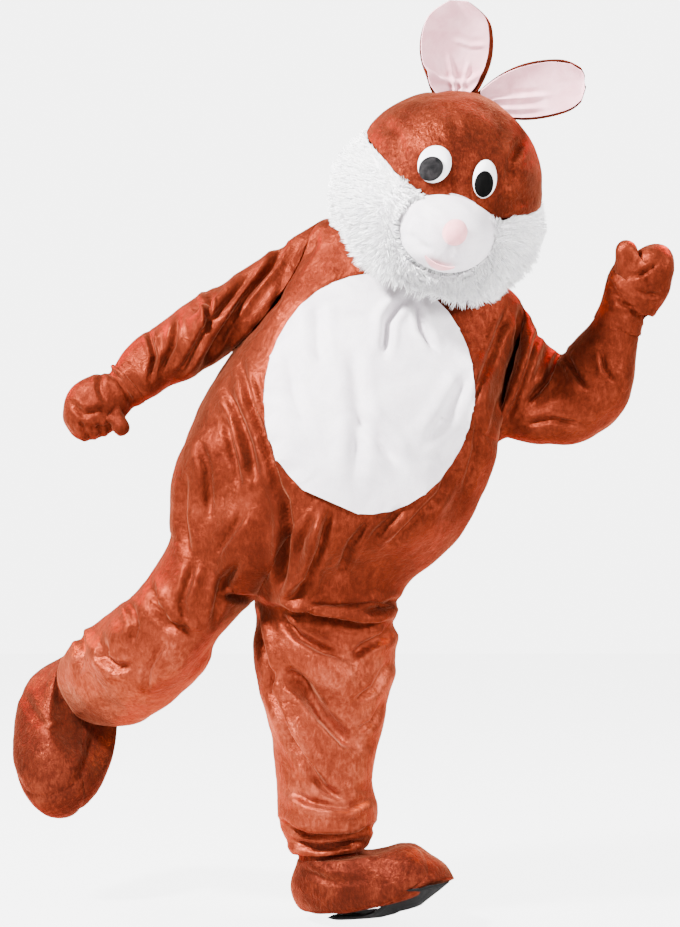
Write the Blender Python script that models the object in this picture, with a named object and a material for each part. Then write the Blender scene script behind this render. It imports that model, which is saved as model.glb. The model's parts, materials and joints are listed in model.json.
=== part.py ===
"""Rabbit mascot costume, worn and skipping on one foot: head, jumpsuit, mitts and boot covers.

Metres, +Z up. The costume faces -Y and leans towards +X, which is the wearer's left.
The origin is inside the neck of the jumpsuit, where its shoulders hang on the wearer.
Every cloth piece is a thin wall cut from a smooth skin, so neighbours share their seam points
and are then drawn apart by a hair. Skins are rings taken from short tables of real sizes.
"""

import functools
import math

import bmesh
import bpy
import numpy as np
from mathutils import Matrix

# ---------------------------------------------------------------- driving sizes
CLOTH = 0.003  # plush with its pile, as a wall
FELT = 0.002  # eyes, ear lining, mouth
EAR_WADDING = 0.005  # the brown ear back with its stiffener
SEAM = 0.0004  # gap left between two pieces at a seam
LIFT = 0.0006  # gap under a piece that lies on another
LEAN = math.radians(24.2)  # the torso leans this far towards the wearer's left

RIGHT, LEFT = -1, 1  # the wearer's sides, as signs of X

FRONT_CELLS = 10  # quads across one front or back panel
NECK_ROWS = 3  # rows of points above the armhole, one for each of the torso's first rings
ARMHOLE_CELLS = 9  # rows of quads beside an armhole; a sleeve has twice as many columns

COLOURS = {
    "brown_plush": ((0.40, 0.105, 0.035), 0.62),
    "white_plush": ((0.86, 0.84, 0.85), 0.80),
    "white_fur": ((0.88, 0.86, 0.86), 0.90),
    "pink_velour": ((0.88, 0.66, 0.69), 0.78),
    "white_felt": ((0.90, 0.89, 0.89), 0.75),
    "black_mesh": ((0.02, 0.02, 0.022), 0.60),
    "black_sole": ((0.012, 0.012, 0.012), 0.70),
    "zip_tape": ((0.20, 0.055, 0.02), 0.75),
    "zip_metal": ((0.55, 0.50, 0.42), 0.35),
}

# ---------------------------------------------------------------- tables
# Rings round the leaning torso. "down" runs along its axis from the shoulder line; "shift" is
# the ring centre's sideways place and "y" its depth; "front" and "back" are half depths.
TORSO = (
    # down   half   front  back   shift   y
    (-0.035, 0.088, 0.080, 0.080, 0.000, -0.030),
    (-0.026, 0.130, 0.100, 0.100, 0.000, -0.018),
    (-0.010, 0.194, 0.118, 0.122, -0.004, 0.000),
    (0.022, 0.240, 0.132, 0.140, -0.006, 0.010),
    (0.100, 0.262, 0.156, 0.160, 0.000, 0.010),
    (0.200, 0.276, 0.190, 0.178, 0.000, 0.002),
    (0.300, 0.285, 0.218, 0.186, 0.000, -0.005),
    (0.435, 0.299, 0.240, 0.196, -0.004, -0.010),
    (0.530, 0.288, 0.236, 0.205, -0.014, -0.006),
    (0.617, 0.262, 0.206, 0.205, -0.030, 0.000),
)
HIP_DOWN, CROTCH_DOWN = 0.617, 0.785
CROTCH = np.array([-0.359, 0.010, -0.700])
SEAT_STEPS = (30, 60)  # degrees round the curve of the crotch seam, hip to crotch

# Armhole: an oval in the skin's own coordinates, from the shoulder line to the low armpit.
ARMPIT = {RIGHT: 0.325, LEFT: 0.285}
ARMPIT_MIDDLE, ARMHOLE_REACH = 0.300, 0.150  # the height its last row has at the centre seams

# Rings down each leg: centre, half width (knee to knee), half depth. The first ring hangs on
# the crotch point, so only its half sizes and the direction to the other leg are given.
LEGS = {
    LEFT: {
        "medial": (-1.0, 0.0, 0.0),
        "rings": (
            # x       y       z      wide   deep
            (-0.211, 0.010, -0.706, 0.148, 0.160),
            (-0.214, 0.012, -0.796, 0.147, 0.150),
            (-0.209, 0.012, -0.899, 0.132, 0.136),
            (-0.207, 0.008, -0.980, 0.113, 0.124),
            (-0.211, 0.002, -1.062, 0.101, 0.114),
            (-0.208, 0.000, -1.108, 0.098, 0.106),
            (-0.204, 0.000, -1.140, 0.105, 0.108),
            (-0.206, 0.000, -1.164, 0.095, 0.096),
            (-0.208, 0.000, -1.185, 0.088, 0.090),
            (-0.207, 0.000, -1.206, 0.080, 0.084),
        ),
    },
    RIGHT: {
        "medial": (0.916, 0.0, -0.401),
        "rings": (
            (-0.459, 0.000, -0.656, 0.109, 0.150),
            (-0.489, -0.016, -0.690, 0.097, 0.134),
            (-0.522, -0.012, -0.734, 0.096, 0.118),
            (-0.551, 0.022, -0.776, 0.109, 0.112),
            (-0.587, 0.060, -0.808, 0.113, 0.108),
            (-0.626, 0.098, -0.838, 0.113, 0.106),
            (-0.658, 0.132, -0.860, 0.110, 0.100),
            (-0.688, 0.164, -0.874, 0.098, 0.090),
            (-0.712, 0.192, -0.886, 0.086, 0.082),
        ),
    },
}
LEG_ROWS = 13  # rows of quads from the crotch to the hem

# Rings down each sleeve: centre, half width seen from the front, half depth.
SLEEVES = {
    RIGHT: (
        # x       y       z      wide   deep
        (-0.453, 0.000, -0.138, 0.066, 0.086),
        (-0.492, 0.002, -0.165, 0.066, 0.082),
        (-0.531, 0.004, -0.188, 0.064, 0.072),
        (-0.570, -0.002, -0.213, 0.059, 0.062),
        (-0.597, -0.006, -0.236, 0.053, 0.054),
        (-0.613, -0.010, -0.250, 0.046, 0.048),
        (-0.630, -0.014, -0.263, 0.041, 0.043),
    ),
    LEFT: (
        (0.205, 0.004, -0.264, 0.106, 0.110),
        (0.232, 0.000, -0.272, 0.098, 0.104),
        (0.283, -0.012, -0.280, 0.092, 0.096),
        (0.327, -0.034, -0.256, 0.086, 0.088),
        (0.351, -0.054, -0.212, 0.074, 0.076),
        (0.366, -0.068, -0.170, 0.058, 0.062),
        (0.377, -0.078, -0.138, 0.049, 0.052),
        (0.388, -0.088, -0.108, 0.045, 0.047),
    ),
}
SLEEVE_ROWS = 13
ARMHOLE_STEPS = 720  # points round the armhole; a multiple of a sleeve's columns

# Folds, each a ridge (height > 0) or trough seen from the front (facing -1) or back (+1), from
# one end to the other in X and Z, with its half width.
FOLDS = (
    # part      x0      z0      x1      z1     width  height facing
    ("body", -0.375, -0.300, -0.300, -0.560, 0.041, -0.024, -1),
    ("body", -0.455, -0.330, -0.520, -0.600, 0.046, 0.021, -1),
    ("body", -0.410, -0.300, -0.440, -0.560, 0.035, -0.018, -1),
    ("body", -0.300, -0.560, -0.305, -0.690, 0.041, -0.030, -1),
    ("body", -0.200, -0.520, -0.300, -0.680, 0.046, 0.027, -1),
    ("body", 0.020, -0.480, -0.180, -0.640, 0.046, 0.021, -1),
    ("body", -0.040, -0.560, -0.260, -0.690, 0.041, -0.021, -1),
    ("body", 0.085, -0.190, 0.110, -0.460, 0.035, 0.024, -1),
    ("body", 0.060, -0.330, 0.060, -0.560, 0.035, -0.018, -1),
    ("body", -0.070, -0.715, -0.330, -0.700, 0.038, 0.030, -1),
    ("body", -0.090, -0.770, -0.320, -0.720, 0.041, -0.027, -1),
    ("body", -0.130, -0.890, -0.310, -0.760, 0.038, 0.018, -1),
    ("body", -0.140, -0.990, -0.300, -0.830, 0.041, -0.021, -1),
    ("body", -0.200, -1.040, -0.300, -0.880, 0.038, 0.021, -1),
    ("body", -0.110, -1.135, -0.290, -1.110, 0.032, 0.021, -1),
    ("body", -0.120, -1.170, -0.290, -1.165, 0.024, -0.015, -1),
    ("body", -0.480, -0.760, -0.640, -0.900, 0.049, 0.021, -1),
    ("body", -0.520, -0.700, -0.600, -0.840, 0.035, -0.021, -1),
    ("body", -0.600, -0.740, -0.680, -0.860, 0.038, 0.021, -1),
    ("body", -0.200, -0.120, -0.330, -0.420, 0.054, 0.018, 1),
    ("body", -0.120, -0.200, -0.120, -0.480, 0.049, -0.015, 1),
    ("body", 0.040, -0.160, -0.020, -0.460, 0.054, 0.018, 1),
    ("body", -0.060, -0.520, -0.300, -0.640, 0.049, 0.021, 1),
    ("body", -0.120, -0.640, -0.330, -0.690, 0.043, -0.021, 1),
    ("body", -0.440, -0.560, -0.360, -0.690, 0.046, -0.018, 1),
    ("body", -0.130, -0.860, -0.300, -0.760, 0.043, 0.019, 1),
    ("body", -0.130, -1.000, -0.300, -0.930, 0.041, 0.018, 1),
    ("body", -0.120, -1.140, -0.290, -1.130, 0.032, 0.021, 1),
    ("right_sleeve", -0.318, -0.014, -0.455, -0.217, 0.027, -0.027, -1),
    ("right_sleeve", -0.277, 0.064, -0.517, -0.250, 0.035, 0.021, -1),
    ("right_sleeve", -0.300, -0.100, -0.400, -0.190, 0.027, -0.021, -1),
    ("right_sleeve", -0.455, -0.072, -0.450, -0.150, 0.024, 0.018, -1),
    ("right_sleeve", -0.585, -0.215, -0.570, -0.290, 0.019, 0.012, -1),
    ("right_sleeve", -0.320, -0.020, -0.480, -0.200, 0.041, 0.018, 1),
    ("right_sleeve", -0.520, -0.170, -0.540, -0.270, 0.030, -0.012, 1),
    ("left_sleeve", 0.175, -0.103, 0.130, -0.365, 0.030, -0.030, -1),
    ("left_sleeve", 0.213, -0.135, 0.142, -0.322, 0.027, 0.024, -1),
    ("left_sleeve", 0.250, -0.180, 0.160, -0.350, 0.030, -0.021, -1),
    ("left_sleeve", 0.330, -0.330, 0.150, -0.345, 0.041, 0.021, -1),
    ("left_sleeve", 0.300, -0.200, 0.370, -0.240, 0.030, -0.009, -1),
    ("left_sleeve", 0.200, -0.150, 0.170, -0.350, 0.043, 0.021, 1),
    ("left_sleeve", 0.290, -0.200, 0.350, -0.300, 0.041, -0.015, 1),
)

# Head: centre and turn of its own frame, then its half sizes.
HEAD_CENTRE = np.array([0.026, -0.135, 0.128])
HEAD_ROLL, HEAD_YAW, HEAD_NOD = math.radians(21), math.radians(8), math.radians(7)
HEAD_HALF, HEAD_FRONT, HEAD_BACK = 0.196, 0.188, 0.186
HEAD_TOP, HEAD_BOTTOM = 0.204, 0.205
HEAD_WALL = 0.005  # plush over foam
# Lines round the head as (turn from the face, latitude), both in degrees.
HEAD_RIM = ((0, -60), (50, -55.4), (80, -38.0), (105, -33.0), (140, -32.8), (180, -31.8))
RUFF_EDGE = ((0, -10), (30, -2), (60, 8), (105, 17), (180, 20))
HEAD_STEP, RUFF_END = 15, 105  # degrees of one column, and where the white ruff stops
RUFF_ROWS, CAP_ROWS = 5, 6
RUFF_DEPTH, RUFF_DROOP = 0.034, 0.30  # how far the fur stands off the shell, and hangs

SNOUT = {"turn": 1, "lat": -21, "wide": 0.094, "high": 0.078, "rise": 0.088, "spokes": 20, "rings": 5}
NOSE = {"x": 0.002, "z": 0.030, "radius": 0.0245, "rise": 0.026}
MOUTH = {"x": 0.030, "z": -0.040, "high": 0.0075}
EYES = {
    RIGHT: {"turn": -17.5, "lat": 15.5, "wide": 0.034, "high": 0.038},
    LEFT: {"turn": 14.5, "lat": 16.5, "wide": 0.030, "high": 0.038},
}
EYE_RISE = 0.010
PUPIL = {"wide": 0.0215, "high": 0.0240, "x": -0.004, "z": -0.010, "rise": 0.003}

EARS = {
    # seat on the head (x, y), directions in the head's frame, and sizes
    RIGHT: {"seat": (-0.060, 0.010), "along": (-0.33, -0.06, 0.94), "across": (1, 0.2, 0.3), "size": (0.192, 0.075), "gap": 0.0009},
    LEFT: {"seat": (-0.006, 0.010), "along": (0.85, -0.06, 0.52), "across": (0.52, 0.1, -0.85), "size": (0.228, 0.056), "gap": 0.0014},
}
# Half width of an ear along its length, as shares of its widest half.
EAR_OUTLINE = (
    # along  share
    (0.00, 0.22),
    (0.12, 0.50),
    (0.32, 0.86),
    (0.55, 1.00),
    (0.75, 0.93),
    (0.90, 0.66),
    (0.97, 0.38),
    (1.00, 0.14),
)
EAR_CUP, EAR_ROWS, EAR_CELLS = 0.22, 8, 6

# Mitts: rings beyond the sleeve end, centre then half sizes, and the finger end.
MITTS = {
    RIGHT: (
        # x       y       z      wide   deep
        (-0.650, -0.018, -0.275, 0.055, 0.046),
        (-0.676, -0.024, -0.294, 0.063, 0.047),
        (-0.697, -0.034, -0.324, 0.056, 0.043),
        (-0.706, -0.044, -0.350, 0.034, 0.027),
        (-0.710, -0.050, -0.364, 0.000, 0.000),
    ),
    LEFT: (
        (0.406, -0.098, -0.076, 0.060, 0.050),
        (0.424, -0.104, -0.046, 0.064, 0.052),
        (0.452, -0.118, -0.014, 0.043, 0.046),
        (0.463, -0.134, 0.008, 0.028, 0.030),
        (0.467, -0.140, 0.018, 0.000, 0.000),
    ),
}
MITT_ROWS = (0.0, 0.17, 0.33, 0.48, 0.63, 0.78, 0.90, 1.0)
# The thumb hole's first row and column and its size in cells, then the thumb's tip and radius.
THUMBS = {
    RIGHT: {"row": 2, "column": 6, "rows": 2, "columns": 3, "tip": (-0.618, -0.064, -0.352), "radius": 0.017},
    LEFT: {"row": 3, "column": 0, "rows": 2, "columns": 3, "tip": (0.386, -0.142, 0.030), "radius": 0.020},
}

# Boot covers: ankle, drop to the sole, toe and up directions.
BOOT_LENGTH, BOOT_WIDTH, BOOT_FORWARD, SOLE = 0.355, 0.190, 0.092, 0.009
BOOT_SIDE = 0.042  # height of the widest line above the sole
SOLE_SHARE = 0.86  # the sole's outline as a share of the widest line
INSTEP, TOE_SPRING = 0.020, 0.012  # how far the front of the boot puffs up, and its toe lifts
BOOTS = {
    LEFT: {"ankle": (-0.212, 0.0, -1.176), "drop": 0.156, "toe": (0.89, -0.42, 0.10), "up": (-0.10, 0.12, 0.985)},
    RIGHT: {"ankle": (-0.712, 0.190, -0.884), "drop": 0.150, "toe": (-0.12, -0.38, -0.92), "up": (0.70, -0.58, 0.36)},
}
BOOT_COLUMNS = 20
BOOT_INSETS = (0.0040, 0.0030, 0.0016)  # gaps to the leg at the three rows inside its hem
# Rings of the dome, ankle to widest line: degrees round it, and their share of the instep's rise.
BOOT_TURNS = ((18, -0.05), (38, 0.90), (62, 0.80), (90, 0.00))
TOE_CAP = 5  # the row where the toe cap's two slanting seams meet

BELLY = {"x": -0.122, "z": -0.274, "half_wide": 0.205, "half_high": 0.238, "tilt": math.radians(8)}
BELLY_ROWS = (0.01, 0.57)

ZIP_BOTTOM, ZIP_OPENING, ZIP_TAPE = 0.60, 0.0045, 0.012
SLIDER_DOWN = -0.012
PULL = {"long": 0.034, "wide": 0.0085, "thick": 0.0016, "pin": 0.0008, "eye": 0.0012}


# ---------------------------------------------------------------- small maths
def unit(v):
    v = np.asarray(v, float)
    return v / np.maximum(np.linalg.norm(v, axis=-1, keepdims=True), 1e-12)


def smooth(t):
    t = np.clip(t, 0.0, 1.0)
    return t * t * (3 - 2 * t)


def monotone(knots, values, at, bend=None):
    """Smooth curve through values (knot first) at each of the points at, with no overshoot.

    values has shape (knots, points, 3), and each point has its own place along the knots.
    bend is (knot, weight): there each point's slope turns, by its weight, to the next secant.
    """
    knots, at = np.asarray(knots, float), np.asarray(at, float)
    step = np.diff(knots)[:, None, None]
    secant = np.diff(values, axis=0) / step
    slope = np.zeros_like(values)
    slope[0], slope[-1] = secant[0], secant[-1]
    before, after = secant[:-1], secant[1:]
    same = before * after > 0
    w0, w1 = 2 * step[1:] + step[:-1], step[1:] + 2 * step[:-1]
    safe_before, safe_after = np.where(same, before, 1.0), np.where(same, after, 1.0)
    mean = (w0 + w1) / (w0 / safe_before + w1 / safe_after)
    slope[1:-1] = np.where(same, mean, 0.0)
    if bend:
        knot, weight = bend
        slope[knot] += weight[:, None] * (secant[knot] - slope[knot])
    i = np.clip(np.searchsorted(knots, at, side="right") - 1, 0, len(knots) - 2)
    n = np.arange(len(at))
    h = (knots[i + 1] - knots[i])[:, None]
    t = ((at - knots[i]) / h[:, 0])[:, None]
    p0, p1, m0, m1 = values[i, n], values[i + 1, n], slope[i, n] * h, slope[i + 1, n] * h
    return (
        (1 + 2 * t) * (1 - t) ** 2 * p0
        + t * (1 - t) ** 2 * m0
        + t * t * (3 - 2 * t) * p1
        + t * t * (t - 1) * m1
    )


def column(table, name_index, at):
    """One column of a table, smoothly between its rows."""
    rows = np.array(table, float)
    values = np.repeat(rows[:, name_index][:, None, None], len(at), axis=1)
    return monotone(rows[:, 0], values, at)[:, 0]


def normals_of(skin, a, b, outward, step_a=2e-3, step_b=2e-3):
    """Unit normals of a skin function of two coordinates, turned by the sign outward."""
    da = skin(a + step_a, b) - skin(a - step_a, b)
    db = skin(a, b + step_b) - skin(a, b - step_b)
    return unit(np.cross(da, db)) * outward


# ---------------------------------------------------------------- skins of the jumpsuit
SIDEWAYS = np.array([math.cos(LEAN), 0.0, -math.sin(LEAN)])
AXIS_DOWN = -np.array([math.sin(LEAN), 0.0, math.cos(LEAN)])
DEPTH = np.array([0.0, 1.0, 0.0])


def torso_ring(side, share, row):
    """Points of one torso ring. share runs 0 to 1 from centre front round to centre back."""
    down, half, front, back, shift, y = row
    turn = share * math.pi
    depth = np.where(np.cos(turn) > 0, front, back)
    return (
        down * AXIS_DOWN
        + (shift + side * half * np.sin(turn))[:, None] * SIDEWAYS
        + (y - depth * np.cos(turn))[:, None] * DEPTH
    )


@functools.cache
def leg_frames(side):
    """Centres, tangents, medial and forward directions and half sizes of the leg's rings."""
    leg = LEGS[side]
    rings = np.array(leg["rings"])
    medial = unit(leg["medial"])
    centres = rings[:, :3].copy()
    centres[0] = CROTCH - medial * rings[0, 3]
    tangents = unit(np.gradient(centres, axis=0))
    tangents[0] = unit(tangents[0] * (1, 0, 1))
    medials, forwards = [], []
    for tangent in tangents:
        medial = unit(medial - tangent * (medial @ tangent))
        medials.append(medial)
        forwards.append(np.cross(medial, tangent) * side)
    centres[0] = CROTCH - medials[0] * rings[0, 3]
    return centres, tangents, np.array(medials), np.array(forwards), rings[:, 3:]


def leg_ring(side, index, share):
    """Points of one leg ring. share runs 0 to 1 from the inseam, round the front, back to it."""
    centres, _, medials, forwards, halves = leg_frames(side)
    turn = share * 2 * math.pi
    return (
        centres[index]
        + (halves[index, 0] * np.cos(turn))[:, None] * medials[index]
        + (halves[index, 1] * np.sin(turn))[:, None] * forwards[index]
    )


def seat_ring(side, share, turned):
    """Points between the hip (turned 0) and the first leg ring, round the crotch seam's curve."""
    hip, crotch = torso_ring(side, share, TORSO[-1]), leg_ring(side, 0, share)
    ring = hip + (crotch - hip) * np.sin(turned)[:, None]
    ring[:, 1] = hip[:, 1] * np.cos(turned) + crotch[:, 1] * (1 - np.cos(turned))
    return ring


def half_body_stations(side, share):
    """(places, points) of every ring of one half of the jumpsuit, neck to hem."""
    places, points = [], []
    for row in TORSO:
        places.append(row[0])
        points.append(torso_ring(side, share, row))
    for degrees in SEAT_STEPS:
        turned = math.radians(degrees)
        places.append(HIP_DOWN + (CROTCH_DOWN - HIP_DOWN) * math.sin(turned))
        points.append(seat_ring(side, share, np.full(len(share), turned)))
    centres = leg_frames(side)[0]
    along = CROTCH_DOWN
    for i in range(len(centres)):
        if i:
            along += np.linalg.norm(centres[i] - centres[i - 1])
        places.append(along)
        points.append(leg_ring(side, i, share))
    return np.array(places), np.array(points)


def hem_down(side):
    return half_body_stations(side, np.array([0.5]))[0][-1]


def plain_body(side):
    """The skin of one half of the jumpsuit, without folds."""

    def skin(share, down):
        places, points = half_body_stations(side, share)
        at_seam = 1 - smooth(np.abs(np.sin(math.pi * share)) / 0.3)
        made = monotone(places, points, down, bend=(len(TORSO) + len(SEAT_STEPS), at_seam))
        # Both halves share the centre seams exactly, down to the crotch point.
        rise = np.clip((down - HIP_DOWN) / (CROTCH_DOWN - HIP_DOWN), 0, 1)
        in_seat = at_seam * ((rise > 0) & (rise < 1))
        return made + in_seat[:, None] * (seat_ring(side, share, np.arcsin(rise)) - made)

    return skin


def fold_height(part, points, normals):
    """How far the folds of a part raise each of its points."""
    total = np.zeros(len(points))
    flat = points[:, [0, 2]]
    for name, x0, z0, x1, z1, width, height, facing in FOLDS:
        if name != part:
            continue
        start, run = np.array([x0, z0]), np.array([x1 - x0, z1 - z0])
        t = np.clip((flat - start) @ run / (run @ run), 0, 1)
        away = np.linalg.norm(flat - start - t[:, None] * run, axis=1)
        seen = smooth(normals[:, 1] * facing * 2)
        total += height * np.exp(-((away / width) ** 2)) * np.sqrt(4 * t * (1 - t)) * seen
    return total


def folded(skin, outward, part, fade=None):
    """(points, normals) of a skin with its folds; fade(a, b) thins them towards a seam."""

    def made(a, b):
        points, normals = skin(a, b), normals_of(skin, a, b, outward)
        raised = fold_height(part, points, normals)
        if fade:
            raised = raised * fade(a, b)
        return points + raised[:, None] * normals, normals

    return made


def body_skin(side):
    """(points, normals) of a half body. Its folds rise the same way on both sides of a seam."""
    plain = plain_body(side)

    def made(share, down):
        points, normals = plain(share, down), normals_of(plain, share, down, -side)
        seam = np.round(share)
        low, high = np.minimum(down + 2e-3, CROTCH_DOWN), np.minimum(down, CROTCH_DOWN) - 2e-3
        along = plain(seam, low) - plain(seam, high)
        middle = unit(np.cross(SIDEWAYS, along)) * np.where(share > 0.5, 1.0, -1.0)[:, None]
        weight = (1 - smooth(np.abs(np.sin(math.pi * share)) / 0.3)) * (down < CROTCH_DOWN + 1e-6)
        normals = unit(normals + weight[:, None] * (middle - normals))
        raised = fold_height("body", points, normals)
        raised = raised * (1 - np.exp(-((np.linalg.norm(points - CROTCH, axis=1) / 0.035) ** 2)))
        return points + raised[:, None] * normals, normals

    return made


def armhole_at(side, angle):
    """Skin coordinates (share, down) of the armhole's edge; angle 0 is its top, then the front."""
    return 0.5 - ARMHOLE_REACH * np.sin(angle), ARMPIT[side] * (1 - np.cos(angle)) / 2


@functools.cache
def armhole_ring(side):
    """(points, normals) round the armhole, from its top to the front and round."""
    return body_skin(side)(*armhole_at(side, np.linspace(0, 2 * math.pi, ARMHOLE_STEPS + 1)))


@functools.cache
def sleeve_frames(side):
    rings = np.array(SLEEVES[side])
    centres = rings[:, :3]
    tangents = unit(np.gradient(centres, axis=0))
    tops = unit(np.stack([-side * tangents[:, 2], 0 * tangents[:, 0], side * tangents[:, 0]], axis=1))
    fronts = unit(np.cross(tops, tangents)) * side
    fronts = np.where(fronts[:, 1:2] > 0, -fronts, fronts)
    return centres, tops, fronts, rings[:, 3:]


def sleeve_stations(side, turn):
    """Rings of a sleeve: the armhole itself, then the table. turn 0 is the top, 0.25 the front."""
    angle = turn * 2 * math.pi
    steps = np.linspace(0, 1, ARMHOLE_STEPS + 1)
    armhole = armhole_ring(side)[0]
    rings = [np.stack([np.interp(np.mod(turn, 1), steps, armhole[:, k]) for k in range(3)], axis=1)]
    centres, tops, fronts, halves = sleeve_frames(side)
    for i in range(len(centres)):
        rings.append(
            centres[i]
            + (halves[i, 0] * np.cos(angle))[:, None] * tops[i]
            + (halves[i, 1] * np.sin(angle))[:, None] * fronts[i]
        )
    first_gap = 0.11
    lengths = np.linalg.norm(np.diff(centres, axis=0), axis=1)
    places = np.concatenate([[0.0, first_gap], first_gap + np.cumsum(lengths)])
    return places / places[-1], np.array(rings)


def plain_sleeve(side):
    def skin(turn, along):
        places, rings = sleeve_stations(side, turn)
        return monotone(places, rings, along)

    return skin


def sleeve_skin(side):
    name = "right_sleeve" if side == RIGHT else "left_sleeve"
    return folded(plain_sleeve(side), side, name, fade=lambda a, b: smooth((b - 0.06) / 0.24))


# ---------------------------------------------------------------- walls
def clear_scene():
    for obj in list(bpy.data.objects):
        bpy.data.objects.remove(obj, do_unlink=True)


def material(name):
    found = bpy.data.materials.get(name)
    if found:
        return found
    colour, roughness = COLOURS[name]
    made = bpy.data.materials.new(name)
    made.use_nodes = True
    shader = made.node_tree.nodes["Principled BSDF"]
    shader.inputs["Base Color"].default_value = (*colour, 1.0)
    shader.inputs["Roughness"].default_value = roughness
    shader.inputs["Metallic"].default_value = 1.0 if name == "zip_metal" else 0.0
    return made


def new_object(name, points, faces, finish):
    mesh = bpy.data.meshes.new(name)
    mesh.from_pydata([tuple(map(float, p)) for p in points], [], faces)
    bm = bmesh.new()
    bm.from_mesh(mesh)
    bmesh.ops.recalc_face_normals(bm, faces=bm.faces)
    if bm.calc_volume(signed=True) < 0:
        bmesh.ops.reverse_faces(bm, faces=bm.faces)
    bm.to_mesh(mesh)
    bm.free()
    mesh.shade_smooth()
    mesh.set_sharp_from_angle(angle=math.radians(50))
    mesh.materials.append(material(finish))
    obj = bpy.data.objects.new(name, mesh)
    bpy.context.scene.collection.objects.link(obj)
    return obj


def grid_cells(rows, columns):
    """Quads of a grid of rows x columns points."""
    return [
        (r * columns + c, r * columns + c + 1, (r + 1) * columns + c + 1, (r + 1) * columns + c)
        for r in range(rows - 1)
        for c in range(columns - 1)
    ]


def welded(outer, inner, cells):
    """Points of the outer side that coincide made one, with cells that collapse made triangles."""
    _, first, index = np.unique(np.round(outer, 7), axis=0, return_index=True, return_inverse=True)
    index = index.reshape(-1)
    kept = []
    for cell in cells:
        corners = [index[k] for k in cell]
        corners = [k for n, k in enumerate(corners) if k != corners[n - 1]]
        if len(corners) > 2:
            kept.append(corners)
    return outer[first], inner[first], kept


def wall(name, outer, inner, cells, finish, pull=SEAM / 2):
    """A closed wall between two matching sets of points, drawn in by pull along its open edges."""
    outer, inner, cells = welded(np.array(outer, float), np.array(inner, float), cells)
    directed = {(cell[k - 1], cell[k]) for cell in cells for k in range(len(cell))}
    open_edges = [(a, b) for a, b in directed if (b, a) not in directed]
    edge_points = {k for edge in open_edges for k in edge}
    towards = {k: set() for k in edge_points}
    for a, b in directed:
        if (b, a) in directed and a in towards and b not in towards:
            towards[a].add(b)
    for cell in cells:
        for k in cell:
            if k in towards and not towards[k]:
                towards[k] = set(cell) - {k}
    for side in (outer, inner):
        moves = {k: unit(side[list(to)].mean(axis=0) - side[k]) * pull for k, to in towards.items()}
        for k, move in moves.items():
            side[k] += move
    count = len(outer)
    faces = [(cell[0], cell[k], cell[k + 1]) for cell in cells for k in range(1, len(cell) - 1)]
    faces += [tuple(k + count for k in reversed(face)) for face in faces]
    # A twisted edge face is split the same way whichever piece it belongs to.
    order = outer @ (0.53, 0.35, 0.77)
    for a, b in sorted(open_edges):
        if order[a] < order[b]:
            faces += [(b, a, b + count), (a, a + count, b + count)]
        else:
            faces += [(b, a, a + count), (b, a + count, b + count)]
    return new_object(name, np.vstack([outer, inner]), faces, finish)


@functools.cache
def armhole_inner(side):
    """Inner points of the armhole seam, from its top to the front and round.

    They lie along the middle direction of the two walls that meet there, so both can share them.
    """
    step = ARMHOLE_STEPS // (2 * ARMHOLE_CELLS)
    points, body = (v[::step] for v in armhole_ring(side))
    turn = np.linspace(0, 1, len(points))
    sleeve = normals_of(plain_sleeve(side), turn, np.full(len(turn), 0.03), side)
    middle = unit(body + sleeve)
    reach = np.minimum(1 / np.maximum((middle * body).sum(axis=1), 0.1), 1.5)
    return points - CLOTH * reach[:, None] * middle


# ---------------------------------------------------------------- jumpsuit
def body_rows(side, armpit):
    """Heights of the rows of points on a half body, neck to hem, with the armpit's height."""
    neck = [row[0] for row in TORSO[:NECK_ROWS]]
    armhole = armpit * (1 - np.cos(np.linspace(0, math.pi, ARMHOLE_CELLS + 1))) / 2
    waist = np.linspace(armpit, HIP_DOWN, 8)[1:]
    seat = [HIP_DOWN + (CROTCH_DOWN - HIP_DOWN) * math.sin(math.radians(d)) for d in (25, 50, 70)]
    leg = np.linspace(CROTCH_DOWN, hem_down(side), LEG_ROWS + 1)
    return np.concatenate([neck, armhole, waist, seat, leg])


def half_grid(side, back):
    """Skin coordinates (share, down) of a front or back panel."""
    middle, edge = body_rows(side, ARMPIT_MIDDLE), body_rows(side, ARMPIT[side])
    across = np.linspace(0, 1, FRONT_CELLS + 1)
    reach = np.full(len(edge), 0.5)
    inside = slice(NECK_ROWS, NECK_ROWS + ARMHOLE_CELLS + 1)
    reach[inside] = armhole_at(side, np.linspace(0, math.pi, ARMHOLE_CELLS + 1))[0]
    share = reach[:, None] * across
    return 1 - share if back else share, middle[:, None] + (edge - middle)[:, None] * across


def back_grid(side):
    """The back panel's grid. Its centre edge stands off the middle where the zip is."""
    share, down = half_grid(side, back=True)
    half = column(TORSO, 1, np.clip(down[:, 0], TORSO[0][0], HIP_DOWN))
    gap = (down[:, 0] <= ZIP_BOTTOM) * ZIP_OPENING / (math.pi * half)
    share[:, 0] = 1 - gap
    return share, down


def build_body():
    for side, word in ((RIGHT, "right"), (LEFT, "left")):
        seam = armhole_inner(side)
        for name, grid, edge in (
            ("front", half_grid(side, back=False), seam[: ARMHOLE_CELLS + 1]),
            ("back", back_grid(side), seam[: ARMHOLE_CELLS - 1 : -1]),
        ):
            points, normals = body_skin(side)(*(v.ravel() for v in grid))
            inner = (points - CLOTH * normals).reshape(*grid[0].shape, 3)
            inner[NECK_ROWS : NECK_ROWS + ARMHOLE_CELLS + 1, -1] = edge
            wall(f"body_{name}_{word}", points, inner.reshape(-1, 3), grid_cells(*grid[0].shape), "brown_plush")


def sleeve_rows():
    return np.linspace(0, 1, SLEEVE_ROWS + 1) ** 0.92


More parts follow.
